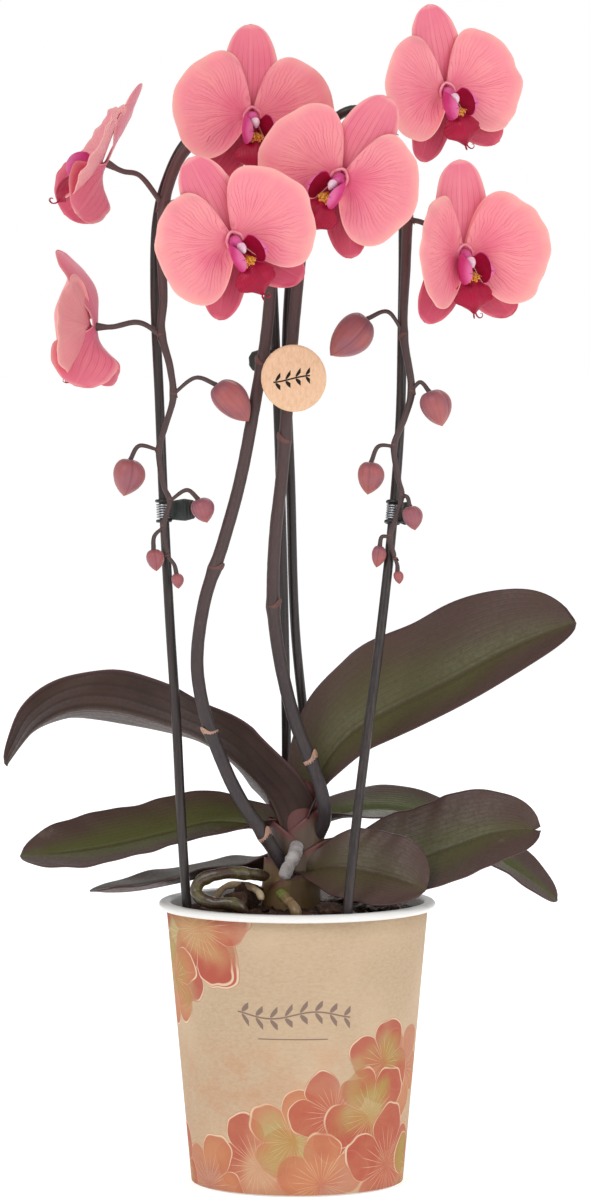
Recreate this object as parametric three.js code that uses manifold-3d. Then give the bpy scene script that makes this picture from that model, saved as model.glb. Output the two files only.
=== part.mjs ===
// Potted moth orchid: two flower spikes trained over two hoops, in a grow pot inside a cover pot.
// Millimetres, +Z up. The origin is the centre of the cover pot's flat base.
import * as THREE from 'three';
import { mergeVertices } from 'three/addons/utils/BufferGeometryUtils.js';
import Module from 'manifold-3d';

const wasm = await Module();
wasm.setup();

// Clearance kept between pieces that touch.
const GAP = 0.3;

// Cover pot and its paper sleeve.
const POT_HEIGHT = 130;
const POT_BASE_RADIUS = 47.9;
const POT_TOP_RADIUS = 59.6;
const POT_WALL = 1.6;
const POT_FLOOR = 2.4;
const RIM_OVERHANG = 4;
const RIM_DEPTH = 3.6;
const SLEEVE_WALL = 0.5;
const SLEEVE_FOOT = 1;
const POT_SEGMENTS = 28;

// Grow pot, standing on the cover pot's floor.
const GROW_WALL = 0.9;
const GROW_RIM_DROP = 5;
const GROW_SIDE_PLAY = 0.8;
const GROW_BASE_INSET = 4;
const DRAIN_RADIUS = 4;
const DRAIN_CIRCLE = 27;
const DRAIN_COUNT = 6;

// Bark: its surface lies this far below the rim, with bumps of this height.
const BARK_DROP = 4;
const BARK_BUMP = 1.6;

// Support hoops.
const HOOP_RADIUS = 2.2;
const HOOP_FOOT_INSET = 2.4;
const HOOP_FOOT_ABOVE_FLOOR = 22;

// Flower spikes.
const SPIKE_BASE_RADIUS = 3.15;
const SPIKE_TOP_RADIUS = 2.7;
const SPIKE_TIP_RADIUS = 1.1;
const PEDICEL_RADIUS = 1.25;
const BUD_STALK_RADIUS = 0.9;

// Leaves.
const LEAF_THICKNESS = 2;

// One flower, at full size.
const PETAL_REACH = 36.5;
const PETAL_SPREAD = 70;
const PETAL_START = 1.2;
const PETAL_CUP = 4.5;
const PETAL_THICKNESS = 0.9;
const SEPAL_LENGTH = 39.5;
const SEPAL_HALF_WIDTH = 12.3;
const LATERAL_LENGTH = 36;
const LATERAL_HALF_WIDTH = 10;
const LATERAL_ANGLE = 144;
const SEPAL_BEND = 1.5;
const LATERAL_BEND = 1;
const CLAW_RADIUS = 2.4;
const COLUMN_RADIUS = 2.6;
const COLUMN_LENGTH = 9;

// Tag.
const TAG_HALF_HEIGHT = 15;
const TAG_HALF_WIDTH = 14.5;
const TAG_THICKNESS = 0.7;

// Every plant piece is placed from the middle of the rim's plane.
const RIM = new THREE.Vector3(0, 0, POT_HEIGHT);
const UP = new THREE.Vector3(0, 0, 1);

const SLEEVE_SHARE = (POT_HEIGHT - RIM_DEPTH) / POT_HEIGHT;
const coverRadius = (z) => THREE.MathUtils.lerp(POT_BASE_RADIUS, POT_TOP_RADIUS, z / POT_HEIGHT);
const GROW_BASE_Z = POT_FLOOR + GAP;
const GROW_TOP_Z = POT_HEIGHT - GROW_RIM_DROP;
const GROW_TOP_RADIUS = coverRadius(GROW_TOP_Z) - POT_WALL - GROW_SIDE_PLAY;
const GROW_BASE_RADIUS = coverRadius(GROW_BASE_Z) - POT_WALL - GROW_BASE_INSET;
const BARK_BASE_Z = GROW_BASE_Z + GROW_WALL + GAP;
const BARK_TOP_Z = POT_HEIGHT - BARK_DROP;
const growInner = (z) => {
  const share = (z - GROW_BASE_Z) / (GROW_TOP_Z - GROW_BASE_Z);
  return THREE.MathUtils.lerp(GROW_BASE_RADIUS, GROW_TOP_RADIUS, share) - GROW_WALL;
};
const BARK_TOP_RADIUS = growInner(GROW_TOP_Z - 3) - GAP;
const HOOP_FOOT_Z = GROW_BASE_Z + HOOP_FOOT_ABOVE_FLOOR;

const finish = (color, roughness, metalness = 0) =>
  new THREE.MeshStandardMaterial({ color, roughness, metalness });

const group = new THREE.Group();
group.name = 'potted_orchid';

// ---------------------------------------------------------------- shape helpers

const vec = (point) => new THREE.Vector3(...point);
const smooth = (points) => new THREE.CatmullRomCurve3(points.map(vec), false, 'centripetal');
const polar = (radius, angle, z) => [radius * Math.cos(angle), radius * Math.sin(angle), z];
const degrees = THREE.MathUtils.degToRad;

function fromTriangles(positions, index) {
  const geometry = new THREE.BufferGeometry();
  geometry.setAttribute('position', new THREE.Float32BufferAttribute(positions, 3));
  geometry.setIndex(index);
  return geometry;
}

// A manifold solid of a closed three.js geometry.
function solid(geometry) {
  const plain = geometry.clone();
  plain.deleteAttribute('normal');
  plain.deleteAttribute('uv');
  const merged = mergeVertices(plain, 1e-4);
  const mesh = new wasm.Mesh({
    numProp: 3,
    vertProperties: new Float32Array(merged.attributes.position.array),
    triVerts: new Uint32Array(merged.index.array),
  });
  mesh.merge();
  return new wasm.Manifold(mesh);
}

function geometryOf(body) {
  const mesh = body.getMesh();
  return fromTriangles(Array.from(mesh.vertProperties), Array.from(mesh.triVerts));
}

const joined = (bodies) => bodies.reduce((sum, body) => sum.add(body));
const without = (body, cutters) => cutters.reduce((rest, cutter) => rest.subtract(cutter), body);

// Keeps only the largest piece of a cut solid, so that a sliver past a cut is dropped.
function largest(body) {
  const pieces = body.decompose();
  return pieces.reduce((best, piece) => (piece.volume() > best.volume() ? piece : best));
}

function add(name, shape, material, parent = group) {
  const geometry = shape.isBufferGeometry ? shape : geometryOf(shape);
  const mesh = new THREE.Mesh(geometry, material);
  mesh.name = name;
  parent.add(mesh);
  return mesh;
}

// A closed tube through points, whose radius may change along it; flat is its depth over its width.
function taperedTube(points, radiusAt, steps, sides, flat = 1) {
  const curve = smooth(points);
  const frames = curve.computeFrenetFrames(steps, false);
  const positions = [];
  const index = [];
  for (let i = 0; i <= steps; i += 1) {
    const centre = curve.getPointAt(i / steps);
    const radius = radiusAt(i / steps);
    for (let k = 0; k < sides; k += 1) {
      const angle = (k / sides) * 2 * Math.PI;
      const point = centre.clone();
      point.addScaledVector(frames.normals[i], radius * Math.cos(angle) * flat);
      point.addScaledVector(frames.binormals[i], radius * Math.sin(angle));
      positions.push(...point.toArray());
    }
  }
  for (let i = 0; i < steps; i += 1) {
    for (let k = 0; k < sides; k += 1) {
      const a = i * sides + k;
      const b = i * sides + ((k + 1) % sides);
      index.push(a, b, b + sides, a, b + sides, a + sides);
    }
  }
  const last = steps * sides;
  for (let k = 1; k < sides - 1; k += 1) {
    index.push(0, k + 1, k);
    index.push(last, last + k, last + k + 1);
  }
  return fromTriangles(positions, index);
}

// A tube of one radius: a round section swept along a path.
function evenTube(points, radius, steps, curveSegments) {
  const section = new THREE.Shape();
  section.absarc(0, 0, radius, 0, 2 * Math.PI, false);
  return new THREE.ExtrudeGeometry(section, {
    steps,
    curveSegments,
    extrudePath: smooth(points),
    bevelEnabled: false,
  });
}

// A closed sheet: pointAt(u, v) gives its middle surface for u and v from 0 to 1.
function sheet(pointAt, thickness, nu, nv) {
  const d = 1e-3;
  const sides = [1, -1].map((sign) => {
    const points = [];
    for (let i = 0; i <= nu; i += 1) {
      for (let j = 0; j <= nv; j += 1) {
        const u = i / nu;
        const v = j / nv;
        const u0 = Math.max(u - d, 0);
        const v0 = Math.max(v - d, 0);
        const along = pointAt(Math.min(u + d, 1), v).sub(pointAt(u0, v));
        const across = pointAt(u, Math.min(v + d, 1)).sub(pointAt(u, v0));
        const normal = along.cross(across).normalize();
        points.push(pointAt(u, v).addScaledVector(normal, (sign * thickness) / 2));
      }
    }
    return points;
  });
  const row = nv + 1;
  const count = (nu + 1) * row;
  const index = [];
  const quad = (a, b, c, e) => index.push(a, b, c, a, c, e);
  for (let i = 0; i < nu; i += 1) {
    for (let j = 0; j < nv; j += 1) {
      const a = i * row + j;
      quad(a, a + row, a + row + 1, a + 1);
      quad(count + a, count + a + 1, count + a + row + 1, count + a + row);
    }
  }
  for (let i = 0; i < nu; i += 1) {
    const low = i * row;
    const high = i * row + nv;
    quad(low, low + count, low + row + count, low + row);
    quad(high, high + row, high + row + count, high + count);
  }
  for (let j = 0; j < nv; j += 1) {
    const near = j;
    const far = nu * row + j;
    quad(near, near + 1, near + 1 + count, near + count);
    quad(far, far + count, far + 1 + count, far + 1);
  }
  return fromTriangles(sides.flat().flatMap((point) => point.toArray()), index);
}

// A turned solid about +Z from [radius, z] points.
function turned(profile, segments) {
  const geometry = new THREE.LatheGeometry(profile.map((p) => new THREE.Vector2(...p)), segments);
  return geometry.rotateX(Math.PI / 2);
}

// An egg-shaped solid along +Y from the origin, broad at the start and pointed at the end.
function budShape(length, width, segments = 7) {
  const outline = [
    [0, 0],
    [0.27, 0.04],
    [0.45, 0.2],
    [0.5, 0.42],
    [0.4, 0.68],
    [0.2, 0.88],
    [0, 1],
  ];
  const profile = outline.map(([r, y]) => new THREE.Vector2(r * width, y * length));
  return new THREE.LatheGeometry(profile, segments);
}

// Turns a geometry built along +Y to run from one point towards another.
function aimed(geometry, from, to) {
  const direction = to.clone().sub(from).normalize();
  const turn = new THREE.Quaternion().setFromUnitVectors(new THREE.Vector3(0, 1, 0), direction);
  return geometry.applyQuaternion(turn).translate(...from.toArray());
}

// ---------------------------------------------------------------- pot and bark

function coverPot() {
  const lip = coverRadius(POT_HEIGHT) + RIM_OVERHANG;
  const under = POT_HEIGHT - RIM_DEPTH;
  return turned(
    [
      [0, 0],
      [POT_BASE_RADIUS - 1, 0],
      [coverRadius(1), 1],
      [coverRadius(under), under],
      [lip - 0.9, under],
      [lip, under + 0.9],
      [lip - 0.3, POT_HEIGHT - 0.8],
      [lip - 1.4, POT_HEIGHT],
      [coverRadius(POT_HEIGHT) - POT_WALL + 0.6, POT_HEIGHT],
      [coverRadius(POT_HEIGHT - 1) - POT_WALL, POT_HEIGHT - 1],
      [coverRadius(POT_FLOOR) - POT_WALL, POT_FLOOR],
      [0, POT_FLOOR],
    ],
    POT_SEGMENTS,
  );
}

function paperSleeve() {
  const top = POT_HEIGHT * SLEEVE_SHARE - GAP;
  const inner = (z) => coverRadius(z) + GAP;
  return turned(
    [
      [inner(SLEEVE_FOOT), SLEEVE_FOOT],
      [inner(SLEEVE_FOOT) + SLEEVE_WALL, SLEEVE_FOOT],
      [inner(top) + SLEEVE_WALL, top],
      [inner(top), top],
      [inner(SLEEVE_FOOT), SLEEVE_FOOT],
    ],
    POT_SEGMENTS,
  );
}

function growPot() {
  const cup = turned(
    [
      [0, GROW_BASE_Z],
      [GROW_BASE_RADIUS, GROW_BASE_Z],
      [GROW_TOP_RADIUS, GROW_TOP_Z],
      [GROW_TOP_RADIUS - GROW_WALL, GROW_TOP_Z],
      [GROW_BASE_RADIUS - GROW_WALL, GROW_BASE_Z + GROW_WALL],
      [0, GROW_BASE_Z + GROW_WALL],
    ],
    POT_SEGMENTS,
  );
  const holes = [];
  for (let i = 0; i < DRAIN_COUNT; i += 1) {
    const hole = new THREE.CylinderGeometry(DRAIN_RADIUS, DRAIN_RADIUS, 4 * GROW_WALL, 8);
    hole.rotateX(Math.PI / 2);
    hole.translate(...polar(DRAIN_CIRCLE, (i / DRAIN_COUNT) * 2 * Math.PI, GROW_BASE_Z + GROW_WALL / 2));
    holes.push(solid(hole));
  }
  return without(solid(cup), holes);
}

function barkBody() {
  const rings = [0.9, 0.66, 0.36];
  const profile = [
    [0, BARK_BASE_Z],
    [growInner(BARK_BASE_Z) - GAP, BARK_BASE_Z],
    [BARK_TOP_RADIUS, GROW_TOP_Z - 3],
    ...rings.map((share) => [share * BARK_TOP_RADIUS, BARK_TOP_Z]),
    [0, BARK_TOP_Z],
  ];
  const body = turned(profile, POT_SEGMENTS);
  const position = body.attributes.position;
  for (let i = 0; i < position.count; i += 1) {
    if (position.getZ(i) > BARK_TOP_Z - 0.01) {
      const x = position.getX(i);
      const y = position.getY(i);
      const bump = Math.sin(x * 0.41 + 1) * Math.cos(y * 0.37) + 0.6 * Math.sin(x * 0.9 - y * 0.7);
      position.setZ(i, BARK_TOP_Z + BARK_BUMP * bump * 0.7);
    }
  }
  return body;
}

// ---------------------------------------------------------------- crown, roots and chips

// The crown's centre line, from inside the bark to where the two youngest leaves part.
const CROWN_LINE = [
  [-4, 0, -34],
  [-3, 0, 4],
  [0, 0, 26],
  [1, 1, 56],
];
const crownTube = (extra) =>
  taperedTube(
    CROWN_LINE.map((p) => vec(p).add(RIM).toArray()),
    (t) => 8.5 + 4.5 * Math.sin(t * 2.6) + extra,
    9,
    12,
    0.72,
  );

// Root routes as shares of the bark's radius across, and millimetres above the rim.
const ROOTS = [
  {
    name: 'root_loop',
    radius: 2.9,
    steps: 18,
    line: [
      [-0.24, -0.2, 12],
      [-0.42, -0.33, 14],
      [-0.64, -0.4, 14.5],
      [-0.83, -0.4, 11],
      [-0.87, -0.42, 6],
      [-0.74, -0.52, 2],
      [-0.54, -0.58, 1.5],
      [-0.42, -0.56, -4],
    ],
  },
  {
    name: 'root_dry_curl',
    radius: 1.6,
    steps: 10,
    line: [
      [-0.3, -0.5, 3],
      [-0.34, -0.36, 6],
      [-0.46, -0.2, 8],
      [-0.62, -0.16, 7],
      [-0.7, -0.2, 2],
      [-0.72, -0.22, -5],
    ],
  },
  {
    name: 'root_green_tip',
    radius: 2.4,
    steps: 8,
    line: [
      [-0.14, -0.34, 5],
      [-0.1, -0.58, 4],
      [-0.02, -0.76, 0.5],
      [0.02, -0.8, -6],
    ],
  },
  {
    name: 'root_grey_tip',
    radius: 3.1,
    steps: 8,
    line: [
      [0, -0.14, 26],
      [-0.03, -0.33, 22],
      [-0.08, -0.37, 17],
      [-0.12, -0.38, 12],
    ],
  },
];

const CHIPS = [
  { at: [-0.42, -0.12, 1.5], size: [8, 6, 9], turn: [0.3, 0.35, 0.9] },
  { at: [-0.54, -0.3, 0], size: [6, 5, 7], turn: [0.2, -0.3, 2.1] },
  { at: [0.3, -0.76, -1.5], size: [8, 5, 4.5], turn: [0.2, 0.2, 0.4] },
];

const onBark = ([x, y, z]) => [x * BARK_TOP_RADIUS, y * BARK_TOP_RADIUS, z + POT_HEIGHT];

function rootTube(root, extra) {
  const radiusAt = (t) => (root.radius + extra) * Math.min(1, 0.55 + 3.2 * (1 - t));
  return taperedTube(root.line.map(onBark), radiusAt, root.steps, 7);
}

function chipShape(chip, extra) {
  const shape = new THREE.DodecahedronGeometry(1, 0);
  shape.scale(...chip.size.map((size) => size + extra));
  shape.rotateX(chip.turn[0]).rotateY(chip.turn[1]).rotateZ(chip.turn[2]);
  return shape.translate(...onBark(chip.at));
}

// ---------------------------------------------------------------- support hoops

// Each hoop above its outer foot, in millimetres from the middle of the rim's plane.
const HOOPS = [
  {
    name: 'hoop_left',
    footAngle: degrees(193),
    line: [
      [-53, -13, 40],
      [-55, -10, 80],
      [-58, -7, 126],
      [-61, -3, 182],
      [-63, 2, 230],
      [-65, 4, 280],
      [-64, 6, 312],
      [-60, 7, 329],
      [-51, 8, 347],
      [-34, 9, 360],
      [-19, 10, 350],
      [-13, 10, 330],
      [-12, 10, 300],
      [-10, 10.5, 255],
      [-8, 11, 200],
      [-6, 15, 125],
      [-5, 23, 70],
      [-6, 28, 0],
    ],
  },
  {
    name: 'hoop_right',
    footAngle: degrees(296),
    line: [
      [27, -41, 42],
      [31, -34, 74],
      [37, -26, 118],
      [43, -14, 170],
      [47, -2, 220],
      [48, 4, 260],
      [48.5, 7, 300],
      [48, 8, 322],
      [43, 9, 348],
      [27, 10, 362],
      [9, 11, 350],
      [0, 13, 326],
      [-3, 15, 290],
      [-5, 16.5, 250],
      [-3, 17, 190],
      [-1, 20, 125],
      [4, 27, 70],
      [7, 31, 0],
    ],
  },
];

// A hoop's route: down its outer leg's foot, over the arch and down the inner leg.
function hoopRoute(hoop) {
  const foot = (z) => polar(growInner(z) - HOOP_RADIUS - HOOP_FOOT_INSET, hoop.footAngle, z);
  const above = hoop.line.map((p) => vec(p).add(RIM).toArray());
  const [innerX, innerY] = above[above.length - 1];
  const points = [
    foot(HOOP_FOOT_Z),
    foot(BARK_TOP_Z - 20),
    foot(BARK_TOP_Z + 4),
    ...above,
    [innerX, innerY, BARK_TOP_Z - 20],
    [innerX, innerY, HOOP_FOOT_Z],
  ];
  return points;
}

const hoopTube = (hoop, radius) => evenTube(hoopRoute(hoop), radius, 44, 3);

// ---------------------------------------------------------------- leaves

// rib: the midrib from the crown outwards, in millimetres from the middle of the rim's plane.
// half: half the blade's width. near: the near half's share of that. base: the width's share at the
// crown, which grows to 1 by the share opening. fold: how far both edges rise. bank: how far the near
// edge drops, in degrees. clasp: how much less it drops at the crown, where the blade stands upright.
const LEAVES = [
  {
    half: 33, near: 0.78, bank: 46, clasp: 0, fold: 24, base: 0.46, opening: 0.3,
    rib: [[5, 0, 36], [10, 1, 55], [22, 3, 70], [40, 5, 83], [70, 8, 100], [98, 9, 115], [128, 9, 127]],
  },
  {
    half: 30, near: 1, bank: -28, clasp: 44, fold: 12, base: 0.5, opening: 0.35,
    rib: [
      [-3, -6, 30],
      [-9, -2, 50],
      [-24, 8, 69],
      [-43, 17, 78],
      [-66, 23, 82.5],
      [-88, 24, 87],
      [-107, 21, 86],
      [-122, 17, 78],
      [-134, 12, 61],
    ],
  },
  {
    half: 23, near: 1, bank: 28, clasp: 0, fold: 16, base: 0.4, opening: 0.4,
    rib: [[-8, 3, 33], [-38, 10, 34.5], [-61, 15, 28.5], [-86, 18, 22.5], [-110, 20, 19], [-128, 21, 18]],
  },
  {
    half: 18, near: 1, bank: 4, clasp: 0, fold: 10, base: 0.45, opening: 0.4,
    rib: [[-7, 6, 15], [-33, 15, 13], [-54, 21, 7.5], [-73, 24, 3.5], [-96, 27, 1]],
  },
  {
    half: 18, near: 1, bank: 26, clasp: 0, fold: 14, base: 0.45, opening: 0.4,
    rib: [[8, 9, 35], [29, 23, 39], [48, 32, 37.5], [66, 36, 31], [85, 38, 20], [104, 39, 8], [121, 39, -5]],
  },
  {
    half: 26, near: 1, bank: 46, clasp: 0, fold: 16, base: 0.4, opening: 0.4,
    rib: [[8, 2, 18], [33, 0, 15], [50, -2, 17], [70, -5, 24], [89, -7, 31], [107, -8, 33]],
  },
  {
    half: 20, near: 1, bank: 50, clasp: 0, fold: 14, base: 0.32, opening: 0.45,
    rib: [[2, -7, 13], [17, -16, 17], [33, -23, 15.5], [47, -29, 12.5], [58, -33, 8]],
  },
];
const CLASP_SHARE = 0.45;

// Share of the half width at u along the blade: narrow at the base, blunt at the tip.
function bladeShare(u, base, opening) {
  const open = THREE.MathUtils.smoothstep(u, 0, opening);
  const close = Math.max(0, (u - 0.6) / 0.4);
  return (base + (1 - base) * open) * Math.sqrt(Math.max(0.004, 1 - close ** 2.3));
}

function leafSheet(leaf, extra) {
  const curve = smooth(leaf.rib.map((p) => vec(p).add(RIM).toArray()));
  const fold = degrees(leaf.fold);
  const pointAt = (u, v) => {
    const upright = leaf.clasp * (1 - THREE.MathUtils.smoothstep(u, 0, CLASP_SHARE));
    const bank = degrees(leaf.bank - upright);
    const tangent = curve.getTangentAt(u);
    const near = tangent.clone().cross(UP).normalize();
    if (near.y > 0) near.negate();
    const top = tangent.clone().cross(near).normalize();
    if (top.z < 0) top.negate();
    const side = near.clone().multiplyScalar(Math.cos(bank)).addScaledVector(top, -Math.sin(bank));
    const face = top.clone().multiplyScalar(Math.cos(bank)).addScaledVector(near, Math.sin(bank));
    const across = 2 * v - 1;
    const width = leaf.half * bladeShare(u, leaf.base, leaf.opening) * (across > 0 ? leaf.near : 1);
    const lift = width * Math.sin(fold) * Math.abs(across) ** 1.4;
    return curve
      .getPointAt(u)
      .addScaledVector(side, width * across * Math.cos(fold))
      .addScaledVector(face, lift);
  };
  return sheet(pointAt, LEAF_THICKNESS + 2 * extra, 10, 4);
}

// ---------------------------------------------------------------- flower spikes

// line: the main stem. stalks: side stalks, each ending where a flower or a bud starts.
const SPIKES = [
  {
    name: 'flower_spike_left',
    line: [
      [-3, -9, 12],
      [-16, -16, 33],
      [-28, -18, 52],
      [-40, -18, 81],
      [-44.5, -18, 99],
      [-45.5, -17, 114],
      [-42, -15, 139],
      [-34, -12, 164],
      [-26, -8, 193],
      [-19.5, -3, 227],
      [-14, 1, 260],
      [-12, 3, 290],
      [-14, 3, 322],
      [-24, 2, 345],
      [-40, 1, 351],
      [-52, 1, 342],
      [-60, 0, 322],
      [-62, -1, 300],
      [-61, -4, 275],
      [-62, -5, 261],
      [-58, -7, 245],
      [-56.5, -8, 231],
      [-60, -9, 218],
      [-63, -10, 207],
      [-60.5, -11, 190],
      [-58, -12, 184],
      [-61, -13, 172],
      [-59, -14, 159],
    ],
  },
  {
    name: 'flower_spike_right',
    line: [
      [10, -3, 31],
      [12.5, -9, 38],
      [12, -14, 47],
      [8, -14, 61],
      [1, -13, 78],
      [-4, -12, 94],
      [-8, -10, 112],
      [-11, -7, 136],
      [-10, -5, 168],
      [-7, -3, 195],
      [-4, 1, 234],
      [-1, 3, 270],
      [3, 4, 305],
      [9, 4, 331],
      [20, 3, 349],
      [36, 2, 354],
      [47, 1, 341],
      [50, -1, 318],
      [49.5, -3, 292],
      [48.5, -4, 260],
      [52, -9, 234],
      [49, -12, 222],
      [44, -15, 209],
      [46, -17, 194],
      [47.5, -18, 187],
      [44, -19, 174],
      [42, -19.5, 168],
      [44.5, -20, 158],
    ],
  },
];

// Buds: the spike, the points that the stalk starts with, the bud's shoulder and tip, and its width.
const BUDS = [
  ['bud_l1', 0, [[-57, -8, 232], [-46, -9, 240]], [-37, -8, 237], [-22, -8, 220], 15],
  ['bud_l2', 0, [[-63, -10, 207], [-72, -11, 209]], [-76, -11, 203], [-79, -11, 186], 14.5],
  ['bud_l3', 0, [[-58, -12, 184], [-50, -13, 189]], [-45, -13, 185], [-41, -13, 174], 10.5],
  ['bud_l4', 0, [[-61, -13, 172], [-65, -14, 168]], [-65.5, -14, 162], [-64, -14, 152], 8],
  ['bud_l5', 0, [[-59, -14, 159], [-56, -14, 155]], [-55, -14, 151], [-54, -14, 144], 5.5],
  ['bud_r1', 1, [[48.5, -4, 260], [41, -7, 270]], [32, -8, 267], [15, -9, 250], 17],
  ['bud_r2', 1, [[52, -9, 234], [56, -11, 238]], [60, -13, 234], [66, -14, 218], 14],
  ['bud_r3', 1, [[44, -15, 209], [37, -16, 209]], [33.5, -17, 202], [32, -17, 187], 12],
  ['bud_r4', 1, [[47.5, -18, 187], [50, -20, 186]], [51, -21, 182], [53.5, -21, 171], 9],
  ['bud_r5', 1, [[42, -19.5, 168], [38.5, -20, 168]], [37.5, -20, 164], [36, -20, 154], 6.5],
  ['bud_r6', 1, [[44.5, -20, 158], [45.5, -20, 155]], [45.5, -20, 152.5], [46.5, -20, 146.5], 4.5],
].map(([name, spike, stalk, from, to, width]) => ({ name, spike, stalk, from, to, width }));

// Flowers: centre, turn to the right, pitch up and roll to the right in degrees, size, how far the
// left and the right petal fold forward and are lifted, how far the top sepal leans, how far the
// lower sepals' outer edges go back, and the spike and points that the pedicel starts with.
const FLOWERS = [
  {
    at: [-21, -8, 359], turn: 12, pitch: 2, roll: 0, size: 1.02, fold: [1, 4], lift: [13, 3],
    lean: 0, back: 11, spike: 0, stem: [[-27, 2, 347], [-24, 4, 356]],
  },
  {
    at: [-29, -60, 303], turn: 17, pitch: -2, roll: -25, size: 1.03, fold: [4, 10], lift: [11, 8],
    lean: -5, back: 11, spike: 0, stem: [[-60.5, 0, 318], [-52, -14, 320], [-40, -32, 310]],
  },
  {
    at: [20, -42, 331], turn: -15, pitch: -2, roll: 28, size: 1.04, fold: [4, 4], lift: [-1, 8],
    lean: 5, back: 11, spike: 1, stem: [[5, 4, 318], [10, -8, 330]],
  },
  {
    at: [66.5, -18, 370], turn: 25, pitch: 0, roll: -13, size: 0.98, fold: [12, -6], lift: [13, 1],
    lean: 0, back: 11, spike: 1, stem: [[41, 2, 350], [50, 2, 362]],
  },
  {
    at: [74.5, -24, 297], turn: 22, pitch: -3, roll: -4, size: 1.04, fold: [34, 21], lift: [5, 3],
    lean: 0, back: 11, spike: 1, stem: [[50, -1, 312], [58, -3, 310]],
  },
  {
    at: [-88, -6, 338], turn: -84, pitch: 26, roll: 0, size: 0.98, fold: [6, 10], lift: [6, 6],
    lean: 0, back: 48, spike: 0, stem: [[-61, -1, 318], [-72, -2, 332]],
  },
  {
    at: [-93, -4, 263], turn: -104, pitch: 0, roll: 0, size: 0.92, fold: [26, 30], lift: [4, 4],
    lean: 0, back: 40, spike: 0, stem: [[-61.5, -5, 259], [-72, -5, 265]],
  },
];

// Distances along a flower's own axis from its centre, and the gap to its pedicel.
const SEPAL_BACK = -1.8;
const PETAL_LEVEL = 0.9;
const LIP_START = 1.9;
const NECK_LENGTH = 8;

function flowerMatrix(flower) {
  const turn = degrees(flower.turn);
  const pitch = degrees(flower.pitch);
  const roll = degrees(flower.roll);
  const front = new THREE.Vector3(
    Math.sin(turn) * Math.cos(pitch),
    -Math.cos(turn) * Math.cos(pitch),
    Math.sin(pitch),
  );
  const level = new THREE.Vector3(Math.cos(turn), Math.sin(turn), 0);
  const top = front.clone().cross(level);
  const dorsal = top.clone().multiplyScalar(Math.cos(roll)).addScaledVector(level, Math.sin(roll));
  const right = level.clone().multiplyScalar(Math.cos(roll)).addScaledVector(top, -Math.sin(roll));
  const matrix = new THREE.Matrix4().makeBasis(right, dorsal, front);
  matrix.scale(new THREE.Vector3(flower.size, flower.size, flower.size));
  return matrix.setPosition(vec(flower.at).add(RIM));
}

const stemRadius = (t) => {
  const rise = THREE.MathUtils.lerp(SPIKE_BASE_RADIUS, SPIKE_TOP_RADIUS, Math.min(1, t / 0.55));
  const fall = THREE.MathUtils.smoothstep(t, 0.62, 1);
  return THREE.MathUtils.lerp(rise, SPIKE_TIP_RADIUS, fall);
};

const raise = (points) => points.map((p) => vec(p).add(RIM).toArray());
const mainStem = (spike, extra) => taperedTube(raise(spike.line), (t) => stemRadius(t) + extra, 54, 6);

function spikeBody(number) {
  const bodies = [solid(mainStem(SPIKES[number], 0))];
  for (const flower of FLOWERS.filter((item) => item.spike === number)) {
    const matrix = flowerMatrix(flower);
    const neck = new THREE.Vector3(0, 0, SEPAL_BACK - NECK_LENGTH).applyMatrix4(matrix);
    const end = new THREE.Vector3(0, 0, SEPAL_BACK - GAP).applyMatrix4(matrix);
    const points = [...raise(flower.stem), neck.toArray(), end.toArray()];
    bodies.push(solid(taperedTube(points, () => PEDICEL_RADIUS, 7, 5)));
  }
  for (const bud of BUDS.filter((item) => item.spike === number)) {
    const from = vec(bud.from).add(RIM);
    const away = vec(bud.to).add(RIM).sub(from).normalize();
    const end = from.clone().addScaledVector(away, -GAP);
    const points = [...raise(bud.stalk), end.toArray()];
    bodies.push(solid(taperedTube(points, () => BUD_STALK_RADIUS, 4, 5)));
  }
  return joined(bodies);
}

// ---------------------------------------------------------------- one flower

// A sepal along an angle in the flower's plane, with its back at SEPAL_BACK; tilt raises one edge.
function sepalSheet(angle, length, half, bend, tilt) {
  const along = [Math.sin(degrees(angle)), Math.cos(degrees(angle))];
  const pointAt = (u, v) => {
    const reach = 0.5 + length * u;
    const share = 0.3 + 0.7 * THREE.MathUtils.smoothstep(u, 0, 0.45);
    const close = Math.sqrt(Math.max(0.006, 1 - Math.max(0, (u - 0.45) / 0.55) ** 2.1));
    const side = (2 * v - 1) * half * share * close;
    const rise = bend * u * u - 1.2 * (2 * v - 1) ** 2 * share + side * u * Math.tan(degrees(tilt));
    return new THREE.Vector3(
      along[0] * reach + along[1] * side,
      along[1] * reach - along[0] * side,
      SEPAL_BACK + PETAL_THICKNESS / 2 + rise,
    );
  };
  return sheet(pointAt, PETAL_THICKNESS, 4, 4);
}

// The three sepals of one flower.
function sepals(flower) {
  const lower = [1, -1].map((sign) =>
    sepalSheet(sign * LATERAL_ANGLE, LATERAL_LENGTH, LATERAL_HALF_WIDTH, LATERAL_BEND, -sign * flower.back),
  );
  const top = sepalSheet(flower.lean, SEPAL_LENGTH, SEPAL_HALF_WIDTH, SEPAL_BEND, 0);
  return joined([top, ...lower].map(solid));
}

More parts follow.
